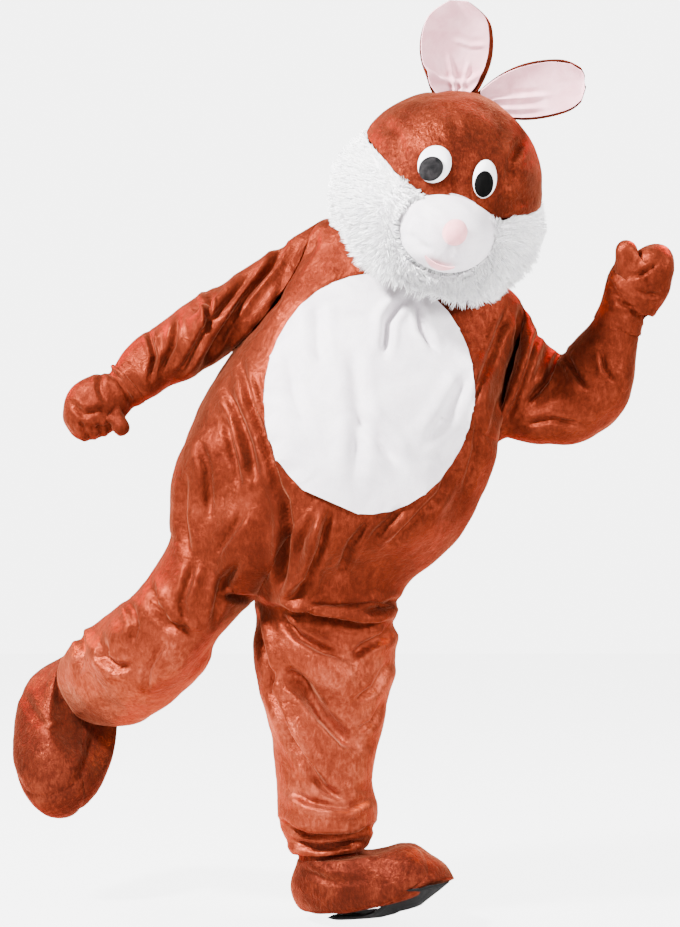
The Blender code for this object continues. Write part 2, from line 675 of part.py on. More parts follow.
def even_normals(normals, shape):
    """Normals evened out from row to row, so that the wall's inner side doesn't fold over in a crease."""
    grid = normals.reshape(*shape, 3).copy()
    for _ in range(3):
        grid[1:-1] = unit(grid[:-2] + 2 * grid[1:-1] + grid[2:])
    return grid.reshape(-1, 3)


def build_sleeves():
    """Each sleeve is a front and a back piece, with seams along its top and underarm."""
    along = sleeve_rows()
    halves = {"front": np.linspace(0, 0.5, ARMHOLE_CELLS + 1), "back": np.linspace(0.5, 1, ARMHOLE_CELLS + 1)}
    for side, word in ((RIGHT, "right"), (LEFT, "left")):
        for half, turns in halves.items():
            a = np.repeat(turns[None, :], len(along), axis=0)
            b = np.repeat(along[:, None], len(turns), axis=1)
            points, normals = sleeve_skin(side)(a.ravel(), b.ravel())
            inner = points - CLOTH * even_normals(normals, a.shape)
            first = 0 if half == "front" else ARMHOLE_CELLS
            inner[: len(turns)] = armhole_inner(side)[first : first + len(turns)]
            wall(f"sleeve_{word}_{half}", points, inner, grid_cells(*a.shape), "brown_plush")


# ---------------------------------------------------------------- what lies on the jumpsuit
def build_belly():
    """The white patch follows both front panels, moved out, inside an oval."""
    halves = []
    for side in (RIGHT, LEFT):
        share, down = half_grid(side, back=False)
        rows = (down[:, 0] >= BELLY_ROWS[0]) & (down[:, 0] <= BELLY_ROWS[1])
        share, down = share[rows], down[rows]
        points, normals = body_skin(side)(share.ravel(), down.ravel())
        shape = (*share.shape, 3)
        halves.append((points.reshape(shape), normals.reshape(shape)))
    (right, right_n), (left, left_n) = halves
    points = np.concatenate([right[:, ::-1], left[:, 1:]], axis=1)
    normals = np.concatenate([right_n[:, ::-1], left_n[:, 1:]], axis=1)
    both = np.concatenate([points, normals], axis=2)
    rows, columns = both.shape[:2]
    both = both.reshape(-1, 6)
    kept, cells = [], []
    for n, (a, b, c, d) in enumerate(grid_cells(rows, columns)):
        # The panels' own triangles: the right panel's grid runs the other way.
        mirrored = n % (columns - 1) < FRONT_CELLS
        for triangle in ((a, b, d), (b, c, d)) if mirrored else ((a, b, c), (a, c, d)):
            piece = inside_oval(both[list(triangle)])
            if len(piece) > 2:
                cells.append(tuple(range(len(kept), len(kept) + len(piece))))
                kept += piece
    kept = np.array(kept)
    points, normals = kept[:, :3], kept[:, 3:]
    inner, outer = points + LIFT * normals, points + (LIFT + CLOTH) * normals
    wall("belly_patch", outer, inner, cells, "white_plush", pull=0)


def inside_oval(corners):
    """The part of a polygon, corners first, whose X and Z lie inside the belly's oval."""
    cosine, sine = math.cos(BELLY["tilt"]), math.sin(BELLY["tilt"])
    steps = 36
    for k in range(steps):
        angle = 2 * math.pi * (k + 0.5) / steps
        across, up = math.cos(angle) / BELLY["half_wide"], math.sin(angle) / BELLY["half_high"]
        side = []
        for corner in corners:
            x, z = corner[0] - BELLY["x"], corner[2] - BELLY["z"]
            side.append(math.cos(math.pi / steps) - across * (x * cosine - z * sine) - up * (x * sine + z * cosine))
        kept = []
        for n, corner in enumerate(corners):
            before = corners[n - 1]
            if (side[n] > 0) != (side[n - 1] > 0):
                kept.append(before + (corner - before) * (side[n - 1] / (side[n - 1] - side[n])))
            if side[n] > 0:
                kept.append(corner)
        corners = kept
        if len(corners) < 3:
            return []
    return corners


def boolean(target, cutter, operation):
    cutter.hide_render = True
    cutter.display_type = "WIRE"
    modifier = target.modifiers.new(operation.lower(), "BOOLEAN")
    modifier.operation = operation
    modifier.solver = "EXACT"
    modifier.object = cutter
    return modifier


def zip_edge(side):
    """Rows of the zip: the middle line, the back panel's edge and its next points, and normals."""
    share, down = back_grid(side)
    rows = down[:, 0] <= ZIP_BOTTOM
    share, down = share[rows][:, :2], down[rows][:, 0]
    made = body_skin(side)
    middle = made(np.ones(len(down)), down)[0]
    edge, normals = made(share[:, 0], down)
    return down, middle, edge, made(share[:, 1], down)[0], normals


def build_zip():
    under = CLOTH + 0.0016
    for side, word in ((RIGHT, "right"), (LEFT, "left")):
        _, middle, edge, beyond, normals = zip_edge(side)
        first = middle + SEAM / 2 * unit(edge - middle)
        last = edge + ZIP_TAPE * unit(beyond - edge)
        outer = np.stack([first, edge, last], axis=1) - under * normals[:, None]
        inner = outer - 0.0012 * normals[:, None]
        cells = grid_cells(len(edge), 3)
        wall(f"zip_tape_{word}", outer.reshape(-1, 3), inner.reshape(-1, 3), cells, "zip_tape", pull=0)
    frame = slider_frame()
    blocks = (
        # across, along, out: start then end, in millimetres
        ((-3.6, 3.6), (-5.0, 5.0), (1.0, 3.0)),
        ((-3.6, -2.4), (-1.6, 1.6), (2.0, 7.6)),
        ((2.4, 3.6), (-1.6, 1.6), (2.0, 7.6)),
    )
    slider = joined_boxes("zip_slider", [*blocks, ((-3.0, 3.0), (-0.7, 0.7), (5.9, 7.3))], frame)
    slider.data.materials[0] = material("zip_metal")
    build_pull(frame)


def slider_frame():
    """Origin on the tapes, then directions across the zip, down it and out of the back."""
    down, middle, _, _, normals = zip_edge(RIGHT)
    at = np.array([np.interp(SLIDER_DOWN, down, middle[:, k]) for k in range(3)])
    out = np.array([np.interp(SLIDER_DOWN, down, normals[:, k]) for k in range(3)])
    out = unit(out - SIDEWAYS * (out @ SIDEWAYS))
    along = np.cross(out, SIDEWAYS)
    along = along if along @ AXIS_DOWN > 0 else -along
    return at - (CLOTH + 0.0016) * out, SIDEWAYS, along, out


def in_frame(frame, points):
    origin, across, along, out = frame
    points = np.asarray(points, float)
    return origin + points[:, :1] * across + points[:, 1:2] * along + points[:, 2:] * out


def box(ranges):
    corners = [(x, y, z) for x in ranges[0] for y in ranges[1] for z in ranges[2]]
    faces = [(0, 1, 3, 2), (4, 6, 7, 5), (0, 4, 5, 1), (2, 3, 7, 6), (0, 2, 6, 4), (1, 5, 7, 3)]
    return np.array(corners) / 1000, faces


def joined_boxes(name, blocks, frame):
    """Boxes given in millimetres in a frame, made one solid."""
    base, *others = [new_object(f"{name}_{n}", in_frame(frame, p), f, "zip_metal")
                     for n, (p, f) in enumerate(box(b) for b in blocks)]
    base.name = name
    for other in others:
        boolean(base, other, "UNION")
    return base


def build_pull(frame):
    """A flat tab with an eye round the slider's bar; it hangs down the back."""
    pin_out = 6.6
    thick, half = PULL["thick"] * 500, PULL["wide"] * 500
    blocks = (((-1.9, 1.9), (-2.4, 2.6), (pin_out - 2.0, pin_out + 2.0)),
              ((-half, half), (2.4, PULL["long"] * 1000), (pin_out - thick, pin_out + thick)))
    tab = joined_boxes("zip_pull", blocks, frame)
    points, faces = box(((-3.0, 3.0), (-1.2, 1.2), (pin_out - 1.2, pin_out + 1.2)))
    boolean(tab, new_object("pull_eye", in_frame(frame, points), faces, "zip_metal"), "DIFFERENCE")


# ---------------------------------------------------------------- head
def head_axes():
    turn = Matrix.Rotation(HEAD_ROLL, 3, "Y") @ Matrix.Rotation(HEAD_YAW, 3, "Z")
    return np.array(turn @ Matrix.Rotation(HEAD_NOD, 3, "X"))


def to_world(local):
    return HEAD_CENTRE + local @ head_axes().T


def line_at(table, turn):
    """Latitude of a line round the head, at a turn of either sign, in degrees."""
    turn = np.abs((np.asarray(turn, float) + 180) % 360 - 180)
    return column(table, 1, turn.ravel()).reshape(turn.shape)


def shell_local(turn, lat):
    """(points, normals) on the head's shell in its own frame; turn and lat in degrees."""
    turn, lat = np.radians(turn), np.radians(lat)
    flat = np.stack([np.cos(lat) * np.sin(turn), -np.cos(lat) * np.cos(turn), np.sin(lat)], axis=-1)
    depth = np.where(flat[..., 1] < 0, HEAD_FRONT, HEAD_BACK)
    height = np.where(flat[..., 2] > 0, HEAD_TOP, HEAD_BOTTOM)
    radii = np.stack([np.full_like(depth, HEAD_HALF), depth, height], axis=-1)
    return flat * radii, unit(flat / radii)


def snout_frame():
    """Centre, across, up and out of the snout's footing, in the head's frame."""
    centre, out = (v[0] for v in shell_local(np.array([SNOUT["turn"]]), np.array([SNOUT["lat"]])))
    across = unit(np.cross((0, 0, 1), -out)) * -1
    across = across if across[0] > 0 else -across
    return centre, across, unit(np.cross(out, across)), out


def on_shell(centre, across, up, out):
    """Function from flat coordinates on a tangent plane to the shell under it, along out."""

    def at(x, z):
        start = centre + x[:, None] * across + z[:, None] * up + 0.12 * out
        points = start.copy()
        for _ in range(3):
            depth = np.where(points[:, 1] < 0, HEAD_FRONT, HEAD_BACK)
            height = np.where(points[:, 2] > 0, HEAD_TOP, HEAD_BOTTOM)
            radii = np.stack([np.full(len(x), HEAD_HALF), depth, height], axis=1)
            p, d = start / radii, -out / radii
            a, b, c = (d * d).sum(1), (p * d).sum(1), (p * p).sum(1) - 1
            t = (-b - np.sqrt(np.maximum(b * b - a * c, 0))) / a
            points = start - t[:, None] * out
        return points, unit(points / radii**2)

    return at


def snout_height(x, z):
    e = np.hypot(x / SNOUT["wide"], z / SNOUT["high"])
    return SNOUT["rise"] * np.clip(1 - e**2.5, 0, 1) ** 0.55


def on_snout(margin):
    frame = snout_frame()
    base = on_shell(*frame)

    def top(x, z):
        return base(x, z)[0] + (margin + snout_height(x, z))[:, None] * frame[3]

    def at(x, z):
        step = 1e-3
        normals = np.cross(top(x + step, z) - top(x - step, z), top(x, z + step) - top(x, z - step))
        normals = unit(normals)
        return top(x, z), normals * np.sign(normals @ frame[3])[:, None]

    return at


def dome(name, under, middle, half, lift, rise, finish, spokes=16, rings=3, edge=0.001, power=2.2):
    """A pad on a surface: under(x, z) is the surface, middle and half its oval there."""
    e = np.linspace(0, 1, rings + 1) ** 0.8
    angle = np.linspace(0, 2 * math.pi, spokes + 1)
    e, angle = np.meshgrid(e, angle, indexing="ij")
    angle[:, -1] = 0
    x = middle[0] + half[0] * (e * np.cos(angle)).ravel()
    z = middle[1] + half[1] * (e * np.sin(angle)).ravel()
    points, normals = under(x, z)
    inner = points + lift * normals
    profile = np.clip(1 - e.ravel() ** power, 0, 1) ** 0.6
    outer = inner + (edge + rise * profile)[:, None] * normals
    return wall(name, to_world(outer), to_world(inner), grid_cells(*e.shape), finish, pull=0)


def head_panel(name, turns, lats, finish, depth=None, pull=SEAM / 2):
    points, normals = shell_local(turns, lats)
    lift = np.zeros(turns.shape) if depth is None else depth
    hang = unit(normals + RUFF_DROOP * np.array([0, 0, -1.0]))
    outer = points + lift[..., None] * hang
    inner = points - HEAD_WALL * normals
    shape = turns.shape
    return wall(name, to_world(outer.reshape(-1, 3)), to_world(inner.reshape(-1, 3)),
                grid_cells(*shape), finish, pull)


def build_head():
    ring = np.arange(-RUFF_END, 360 - RUFF_END + 1, HEAD_STEP, dtype=float)
    front = ring[ring <= RUFF_END]
    back = ring[ring >= RUFF_END]
    cap = np.linspace(0, 1, CAP_ROWS + 1)[:, None]
    low = np.linspace(1, 0, RUFF_ROWS + 1)[:, None]
    edge, rim = line_at(RUFF_EDGE, front), line_at(HEAD_RIM, front)
    rows = edge + (90 - edge) * cap
    head_panel("head_front", np.broadcast_to(front, rows.shape), rows, "brown_plush")
    back_edge, back_rim = line_at(RUFF_EDGE, back), line_at(HEAD_RIM, back)
    rows = np.vstack([back_edge + (back_rim - back_edge) * low, (back_edge + (90 - back_edge) * cap)[1:]])
    head_panel("head_back", np.broadcast_to(back, rows.shape), rows, "brown_plush")
    pocket = snout_pocket()
    for word, turns in (("right", front[front <= 0]), ("left", front[front >= 0])):
        edge, rim = line_at(RUFF_EDGE, turns), line_at(HEAD_RIM, turns)
        rows = edge + (rim - edge) * low
        depth = RUFF_DEPTH * smooth(low / 0.28) * smooth((RUFF_END - np.abs(turns)) / HEAD_STEP)
        ruff = head_panel(f"ruff_{word}", np.broadcast_to(turns, rows.shape), rows, "white_fur", depth)
        boolean(ruff, pocket, "DIFFERENCE")


def snout_pocket():
    """The cutter that lets the snout's footing through the depth of the fur."""
    frame = snout_frame()
    under = on_shell(*frame)
    e = np.linspace(0, 1, SNOUT["rings"] + 1) ** 0.8 * 1.01
    angle = np.linspace(0, 2 * math.pi, SNOUT["spokes"] + 1)
    e, angle = np.meshgrid(e, angle, indexing="ij")
    angle[:, -1] = 0
    x = SNOUT["wide"] * (e * np.cos(angle)).ravel()
    z = SNOUT["high"] * (e * np.sin(angle)).ravel()
    points, _ = under(x, z)
    inner = points + 0.0002 * frame[3]
    outer = points + 0.09 * frame[3]
    cells = grid_cells(*e.shape)
    return wall("snout_pocket", to_world(outer), to_world(inner), cells, "white_fur", pull=0)


def build_face():
    frame = snout_frame()
    base = on_shell(*frame)
    size = (SNOUT["wide"], SNOUT["high"])
    e = np.linspace(0, 1, SNOUT["rings"] + 1) ** 0.8
    angle = np.linspace(0, 2 * math.pi, SNOUT["spokes"] + 1)
    e, angle = np.meshgrid(e, angle, indexing="ij")
    angle[:, -1] = 0
    x, z = size[0] * (e * np.cos(angle)).ravel(), size[1] * (e * np.sin(angle)).ravel()
    points, _ = base(x, z)
    inner = points + 0.001 * frame[3]
    outer = points + (0.002 + snout_height(x, z))[:, None] * frame[3]
    wall("snout", to_world(outer), to_world(inner), grid_cells(*e.shape), "white_plush", pull=0)
    on = on_snout(0.002)
    nose = (NOSE["radius"], NOSE["radius"] * 0.95)
    dome("nose", on, (NOSE["x"], NOSE["z"]), nose, 0.0012, NOSE["rise"], "pink_velour", 12, 4)
    build_mouth(on)
    for side, word in ((RIGHT, "right"), (LEFT, "left")):
        eye = EYES[side]
        centre, out = (v[0] for v in shell_local(np.array([eye["turn"]]), np.array([eye["lat"]])))
        across = unit(np.cross((0, 0, 1), out))
        across = across if across[0] > 0 else -across
        up = unit(np.cross(out, across))
        under = on_shell(centre, across, up, out)
        half = (eye["wide"], eye["high"])
        dome(f"eye_{word}", under, (0, 0), half, 0.001, EYE_RISE, "white_felt", 16, 3)

        def white(x, z, under=under, half=half):
            points, normals = under(x, z)
            e = np.hypot(x / half[0], z / half[1])
            high = 0.002 + EYE_RISE * np.clip(1 - e**2.2, 0, 1) ** 0.6
            return points + high[:, None] * normals, normals

        middle, size = (PUPIL["x"], PUPIL["z"]), (PUPIL["wide"], PUPIL["high"])
        dome(f"pupil_{word}", white, middle, size, 0.0012, PUPIL["rise"], "black_mesh", 14, 2)


def build_mouth(on):
    """A pink smile, a thin crescent low on the snout."""
    across, thick = np.linspace(-1, 1, 9), np.linspace(-1, 1, 3)
    t, k = np.meshgrid(across, thick, indexing="xy")
    x = MOUTH["x"] * t.ravel()
    z = MOUTH["z"] + 0.012 * t.ravel() ** 2 + MOUTH["high"] * (k * (1 - 0.8 * t**2)).ravel()
    points, normals = on(x, z)
    inner = points + 0.0008 * normals
    outer = inner + FELT * normals
    wall("mouth", to_world(outer), to_world(inner), grid_cells(*t.shape), "pink_velour", pull=0)


def ear_points(side, along, share):
    """(points, normals) of an ear's middle surface in the head's frame; it cups forward."""
    ear = EARS[side]
    length, half = ear["size"]
    up = unit(ear["along"])
    across = unit(np.asarray(ear["across"], float) - up * (np.asarray(ear["across"]) @ up))
    facing = np.cross(up, across)
    facing = facing if facing[1] < 0 else -facing
    x, y = ear["seat"]
    seat = np.array([x, y, HEAD_TOP * math.sqrt(1 - (x / HEAD_HALF) ** 2 - (y / HEAD_BACK) ** 2)])

    def at(a, c):
        width = half * column(EAR_OUTLINE, 1, np.clip(a, 0, 1))
        cup = EAR_CUP * half * (c**2) * (0.6 + 0.8 * (1 - a)) - 0.012 * np.sin(math.pi * a)
        return (seat + (0.002 + a * length)[:, None] * up
                + (c * width)[:, None] * across + cup[:, None] * facing)

    points = at(along, share)
    step = 1e-3
    normals = np.cross(at(along + step, share) - at(along - step, share),
                       at(along, share + step) - at(along, share - step))
    normals = unit(normals)
    return points, normals * np.sign(normals @ facing)[:, None]


def off_the_crown(points, gap):
    """The foot of an ear follows the crown of the head, just off it."""
    inside = np.linalg.norm(points / (HEAD_HALF, HEAD_BACK, HEAD_TOP), axis=1)
    near = 1 + gap / HEAD_TOP
    return points * np.where(inside < near, near / inside, 1.0)[:, None]


def build_ears():
    """The brown back's grid is the lining's with one more line all round."""
    lining_along = np.linspace(0.08, 0.985, EAR_ROWS)
    lining_share = np.linspace(-0.9, 0.9, EAR_CELLS + 1)
    grids = {
        "lining": (lining_along, lining_share, LIFT + FELT, LIFT, "pink_velour"),
        "back": (
            np.concatenate([[0.0], lining_along, [1.0]]),
            np.concatenate([[-1.0], lining_share, [1.0]]),
            0.0,
            -EAR_WADDING,
            "brown_plush",
        ),
    }
    for side, word in ((RIGHT, "right"), (LEFT, "left")):
        for name, (along, share, near, far, finish) in grids.items():
            a, c = np.meshgrid(along, share, indexing="ij")
            points, normals = ear_points(side, a.ravel(), c.ravel())
            gap = EARS[side]["gap"] + (0.0 if name == "back" else 2.5 * LIFT)
            outer, inner = (off_the_crown(points + lift * normals, gap + max(lift, 0)) for lift in (near, far))
            wall(f"ear_{name}_{word}", to_world(outer), to_world(inner), grid_cells(*a.shape), finish, pull=0)


# ---------------------------------------------------------------- mitts
def mitt_skin(side):
    """Skin of a mitt over (turn, along): its cuff stands off the sleeve, then the table's rings."""
    sleeve = sleeve_skin(side)
    cuff = sleeve_rows()[-2:]
    rings = np.array(MITTS[side])
    centres = rings[:, :3]
    _, tops, fronts, _ = sleeve_frames(side)
    top, front = tops[-1], fronts[-1]
    paths = unit(np.gradient(centres, axis=0))

    def stations(turn):
        made = []
        for along in cuff:
            points, normals = sleeve(turn, np.full(len(turn), along))
            made.append(points + (CLOTH + LIFT) * normals)
        angle = turn * 2 * math.pi
        for centre, path, (wide, deep) in zip(centres, paths, rings[:, 3:]):
            a = unit(top - path * (top @ path))
            b = unit(front - path * (front @ path) - a * (front @ a))
            made.append(centre + (wide * np.cos(angle))[:, None] * a + (deep * np.sin(angle))[:, None] * b)
        start = sleeve(np.array([0.0, 0.5]), np.full(2, cuff[0]))[0].mean(axis=0)
        end = sleeve(np.array([0.0, 0.5]), np.full(2, cuff[1]))[0].mean(axis=0)
        path = np.vstack([start, end, centres])
        places = np.concatenate([[0], np.cumsum(np.linalg.norm(np.diff(path, axis=0), axis=1))])
        return places / places[-1], np.array(made)

    def skin(turn, along):
        places, made = stations(turn)
        return monotone(places, made, along)

    return skin, stations(np.array([0.0]))[0][1]


def build_mitts():
    for side, word in ((RIGHT, "right"), (LEFT, "left")):
        skin, sleeve_end = mitt_skin(side)
        rows = np.array(MITT_ROWS)
        rows[1] = sleeve_end
        rows[2:] = sleeve_end + (1 - sleeve_end) * np.array(MITT_ROWS[2:] - np.float64(MITT_ROWS[1])) / (
            1 - MITT_ROWS[1]
        )
        thumb = THUMBS[side]
        facing_camera = "back" if side == RIGHT else "palm"
        hidden = "palm" if side == RIGHT else "back"
        for piece, first in ((facing_camera, 0), (hidden, ARMHOLE_CELLS)):
            turns = np.linspace(0, 1, 2 * ARMHOLE_CELLS + 1)[first : first + ARMHOLE_CELLS + 1]
            a = np.repeat(turns[None, :], len(rows), axis=0)
            b = np.repeat(rows[:, None], len(turns), axis=1)
            points = skin(a.ravel(), b.ravel())
            normals = normals_of(skin, a.ravel(), np.minimum(b.ravel(), 0.985), side)
            outer, inner = points, points - CLOTH * normals
            columns = len(turns)
            cells = grid_cells(*a.shape)
            if piece == facing_camera:
                hole = [
                    (thumb["row"] + r) * (columns - 1) + thumb["column"] + c
                    for r in range(thumb["rows"])
                    for c in range(thumb["columns"])
                ]
                loop = thumb_loop(thumb, columns)
                build_thumb(f"mitt_{word}_thumb", thumb, outer[loop], inner[loop])
                cells = [cell for n, cell in enumerate(cells) if n not in hole]
            wall(f"mitt_{word}_{piece}", outer, inner, cells, "brown_plush")


def thumb_loop(thumb, columns):
    """Grid points round the thumb hole, in order."""
    r0, c0 = thumb["row"], thumb["column"]
    r1, c1 = r0 + thumb["rows"], c0 + thumb["columns"]
    around = [(r0, c) for c in range(c0, c1)] + [(r, c1) for r in range(r0, r1)]
    around += [(r1, c) for c in range(c1, c0, -1)] + [(r, c0) for r in range(r1, r0, -1)]
    return [r * columns + c for r, c in around]


def build_thumb(name, thumb, outer_loop, inner_loop):
    tip, radius = np.array(thumb["tip"]), thumb["radius"]
    centre = outer_loop.mean(axis=0)
    axis = unit(tip - centre)
    around = outer_loop - centre
    across = unit(around - (around @ axis)[:, None] * axis)
    outer, inner = [outer_loop], [inner_loop]
    for along, size in ((0.30, 1.0), (0.58, 1.06), (0.82, 0.86), (0.96, 0.45), (1.0, 0.0)):
        share = smooth(along / 0.5)
        ring = (1 - share) * around + share * radius * across
        ring = ring * size
        thin = np.maximum(1 - CLOTH / np.maximum(np.linalg.norm(ring, axis=1, keepdims=True), 1e-9), 0)
        at = centre + axis * np.linalg.norm(tip - centre) * along
        outer.append(at + ring)
        inner.append(at + ring * thin - axis * CLOTH * (along > 0.9))
    rows, columns = len(outer), len(outer_loop) + 1
    outer = np.array([np.vstack([ring, ring[:1]]) for ring in outer]).reshape(-1, 3)
    inner = np.array([np.vstack([ring, ring[:1]]) for ring in inner]).reshape(-1, 3)
    wall(name, outer, inner, grid_cells(rows, columns), "brown_plush")


# ---------------------------------------------------------------- boots
def boot_rings(side):
    """Outer and inner rings from inside the leg to the sole's edge, with the sole's frame."""
    rows = body_rows(side, ARMPIT_MIDDLE)[-3:]
    skin = body_skin(side)
    boot = BOOTS[side]
    ankle, up = np.array(boot["ankle"]), unit(boot["up"])
    toe = unit(np.array(boot["toe"]) - up * (np.array(boot["toe"]) @ up))
    across = np.cross(up, toe)
    # Columns stand at even angles round the ankle, the first one over the toe.
    around = np.linspace(0, 1, 241)
    flat = skin(around, np.full(len(around), rows[-1]))[0] - ankle
    turned = np.unwrap(np.arctan2(flat @ across, flat @ toe))
    sense = np.sign(turned[-1] - turned[0])
    angle = np.linspace(0, 2 * math.pi, BOOT_COLUMNS, endpoint=False)
    share = np.interp((angle - sense * turned[0]) % (2 * math.pi), sense * turned - sense * turned[0], around)
    outer, inner = [], []
    for down, inset in zip(rows, BOOT_INSETS):
        points, normals = skin(share, np.full(len(share), down))
        outer.append(points - (CLOTH + inset) * normals)
        inner.append(points - (2 * CLOTH + inset) * normals)
    leg = leg_frames(side)[1][-1]
    outer.append(outer[-1] + 0.009 * leg)
    inner.append(inner[-1] + 0.009 * leg)
    start = outer[-1]
    flat = start - ankle
    sole = ankle - up * boot["drop"] + toe * BOOT_FORWARD
    middle = sole + up * BOOT_SIDE
    blunt = np.sign(np.cos(angle)) * np.abs(np.cos(angle)) ** 0.85
    broad = 1 + 0.10 * np.cos(angle)
    edge = (middle + (BOOT_LENGTH / 2 * blunt)[:, None] * toe
            + (BOOT_WIDTH / 2 * sense * broad * np.sin(angle))[:, None] * across)
    front = np.maximum(np.cos(angle), 0) ** 0.7
    for degrees, puff in BOOT_TURNS:
        turned = math.radians(degrees)
        level = start + (edge - start) * math.sin(turned)
        fall = (1 - math.cos(turned) - math.sin(turned)) * ((edge - start) @ up)
        ring = level + (fall + INSTEP * puff * front)[:, None] * up
        outward = unit(flat - (flat @ up)[:, None] * up) * math.sin(turned) + up * math.cos(turned)
        outer.append(ring)
        inner.append(ring - CLOTH * outward)
    outward = unit(edge - middle)
    for share, rise in ((0.96, 0.35), (SOLE_SHARE, 0.0)):
        ring = sole + (edge - middle) * share + up * BOOT_SIDE * rise
        outer.append(ring)
        inner.append(ring - CLOTH * unit(outward * (0.4 + rise) - up * (1 - rise) * 0.6))
    outer, inner = np.array(outer), np.array(inner)
    for points in (outer, inner):
        ahead = np.clip((points - sole) @ toe / (BOOT_LENGTH / 2), 0, 1.1)
        points += (TOE_SPRING * ahead**2)[..., None] * up
    return outer, inner, sense, up, sole


def boot_pieces(rows, sense):
    """Cells of the inner, outer and toe pieces. The toe cap's edges slant away from the centre seam."""
    pieces = {"inner": [], "outer": [], "toe": []}
    for r in range(rows - 1):
        for c in range(BOOT_COLUMNS):
            ahead = (c + 1) % BOOT_COLUMNS
            corners = [r * BOOT_COLUMNS + c, r * BOOT_COLUMNS + ahead]
            corners += [k + BOOT_COLUMNS for k in reversed(corners)]
            side = c < BOOT_COLUMNS // 2
            half = "outer" if side == (sense > 0) else "inner"
            away = c if side else BOOT_COLUMNS - 1 - c
            if r - TOE_CAP > away:
                pieces["toe"].append(tuple(corners))
            elif r - TOE_CAP == away:
                a, b, c_low, a_low = corners
                pieces["toe"].append((a, c_low, a_low) if side else (b, c_low, a_low))
                pieces[half].append((a, b, c_low) if side else (a, b, a_low))
            else:
                pieces[half].append(tuple(corners))
    return pieces


def build_boots():
    for side, word in ((RIGHT, "right"), (LEFT, "left")):
        outer, inner, sense, up, sole = boot_rings(side)
        for half, cells in boot_pieces(len(outer), sense).items():
            used = sorted({k for cell in cells for k in cell})
            index = {k: n for n, k in enumerate(used)}
            cells = [tuple(index[k] for k in cell) for cell in cells]
            wall(f"boot_{word}_{half}", outer.reshape(-1, 3)[used], inner.reshape(-1, 3)[used], cells, "brown_plush")
        ring = outer[-1] - up * SEAM
        centre = sole - up * SEAM
        shrunk = centre + (ring - centre) * 0.97
        top = np.vstack([ring, shrunk[:0]])
        low = shrunk - up * SOLE
        points = np.vstack([top, low, centre, centre - up * SOLE])
        n = len(ring)
        faces = [(k, (k + 1) % n, (k + 1) % n + n, k + n) for k in range(n)]
        faces += [((k + 1) % n, k, 2 * n) for k in range(n)]
        faces += [(k + n, (k + 1) % n + n, 2 * n + 1) for k in range(n)]
        new_object(f"boot_{word}_sole", points, faces, "black_sole")


def main():
    clear_scene()
    build_body()
    build_sleeves()
    build_belly()
    build_zip()
    build_head()
    build_face()
    build_ears()
    build_mitts()
    build_boots()


main()
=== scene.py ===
"""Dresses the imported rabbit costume: creased plush, white fur, felt, velour, zip and soles."""

import json
import math

import bpy
import numpy as np
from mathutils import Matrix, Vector
from mathutils.kdtree import KDTree

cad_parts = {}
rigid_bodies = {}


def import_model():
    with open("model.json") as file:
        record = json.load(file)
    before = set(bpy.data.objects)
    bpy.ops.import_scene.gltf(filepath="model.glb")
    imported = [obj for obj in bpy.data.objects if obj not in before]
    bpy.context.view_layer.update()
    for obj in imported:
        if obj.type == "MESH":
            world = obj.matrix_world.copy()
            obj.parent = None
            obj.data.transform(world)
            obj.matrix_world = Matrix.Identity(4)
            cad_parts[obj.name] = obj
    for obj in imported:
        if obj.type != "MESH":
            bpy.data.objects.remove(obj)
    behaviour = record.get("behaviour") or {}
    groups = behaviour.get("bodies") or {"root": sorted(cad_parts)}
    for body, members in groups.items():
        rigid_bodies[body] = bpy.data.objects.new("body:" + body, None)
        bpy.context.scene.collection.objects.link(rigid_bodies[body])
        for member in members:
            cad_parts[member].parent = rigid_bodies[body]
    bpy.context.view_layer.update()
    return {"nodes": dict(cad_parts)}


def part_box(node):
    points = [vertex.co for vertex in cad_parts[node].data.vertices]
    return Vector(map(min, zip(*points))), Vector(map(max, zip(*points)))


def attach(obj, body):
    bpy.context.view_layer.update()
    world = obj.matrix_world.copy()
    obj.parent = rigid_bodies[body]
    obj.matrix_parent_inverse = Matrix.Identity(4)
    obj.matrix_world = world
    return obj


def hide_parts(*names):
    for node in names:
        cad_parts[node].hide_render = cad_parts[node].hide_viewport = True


for thing in list(bpy.data.objects):
    bpy.data.objects.remove(thing)
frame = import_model()
NODES = frame["nodes"]

# The photograph's own camera: where it stands, and metres for one pixel on the plane y = 0.
CAMERA = (-0.1804, -5.0, -0.4131)
LENS, PIXEL, CENTRE = 94.7, 0.00205, (340.0, 463.5)
WELD = 1e-5
RIM_EDGE, RUFF_RIM_EDGE = 0.0066, 0.05  # a wall's rim faces have an edge shorter than this
RIM_ANGLE = math.radians(42)  # where one of two thin faces turns by this, or a thin face meets a wide one
RIM_STEP = math.radians(20)  # at this, an edge of the rim is kept sharp
PUSH = 0.9  # the share of what smoothing takes away that each round gives back


# ------------------------ meshes as arrays

def unit(rows):
    return rows / np.maximum(np.linalg.norm(rows, axis=-1, keepdims=True), 1e-12)


def tree_of(places, keys=None):
    """A search tree over places, which answers with their keys, or else with their order."""
    tree = KDTree(len(places))
    for order, place in enumerate(places):
        tree.insert(place, order if keys is None else int(keys[order]))
    tree.balance()
    return tree


def node_mesh(name):
    """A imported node's welded points and its triangles."""
    mesh = NODES[name].data
    flat = np.empty(len(mesh.vertices) * 3)
    mesh.vertices.foreach_get("co", flat)
    points = flat.reshape(-1, 3)
    keys = np.round(points / WELD).astype(np.int64)
    _, first, back = np.unique(keys, axis=0, return_index=True, return_inverse=True)
    corners = np.empty(len(mesh.loops), int)
    mesh.loops.foreach_get("vertex_index", corners)
    faces = back.reshape(-1)[corners].reshape(-1, 3)
    whole = (faces[:, 0] != faces[:, 1]) & (faces[:, 1] != faces[:, 2]) & (faces[:, 0] != faces[:, 2])
    return points[first], faces[whole]


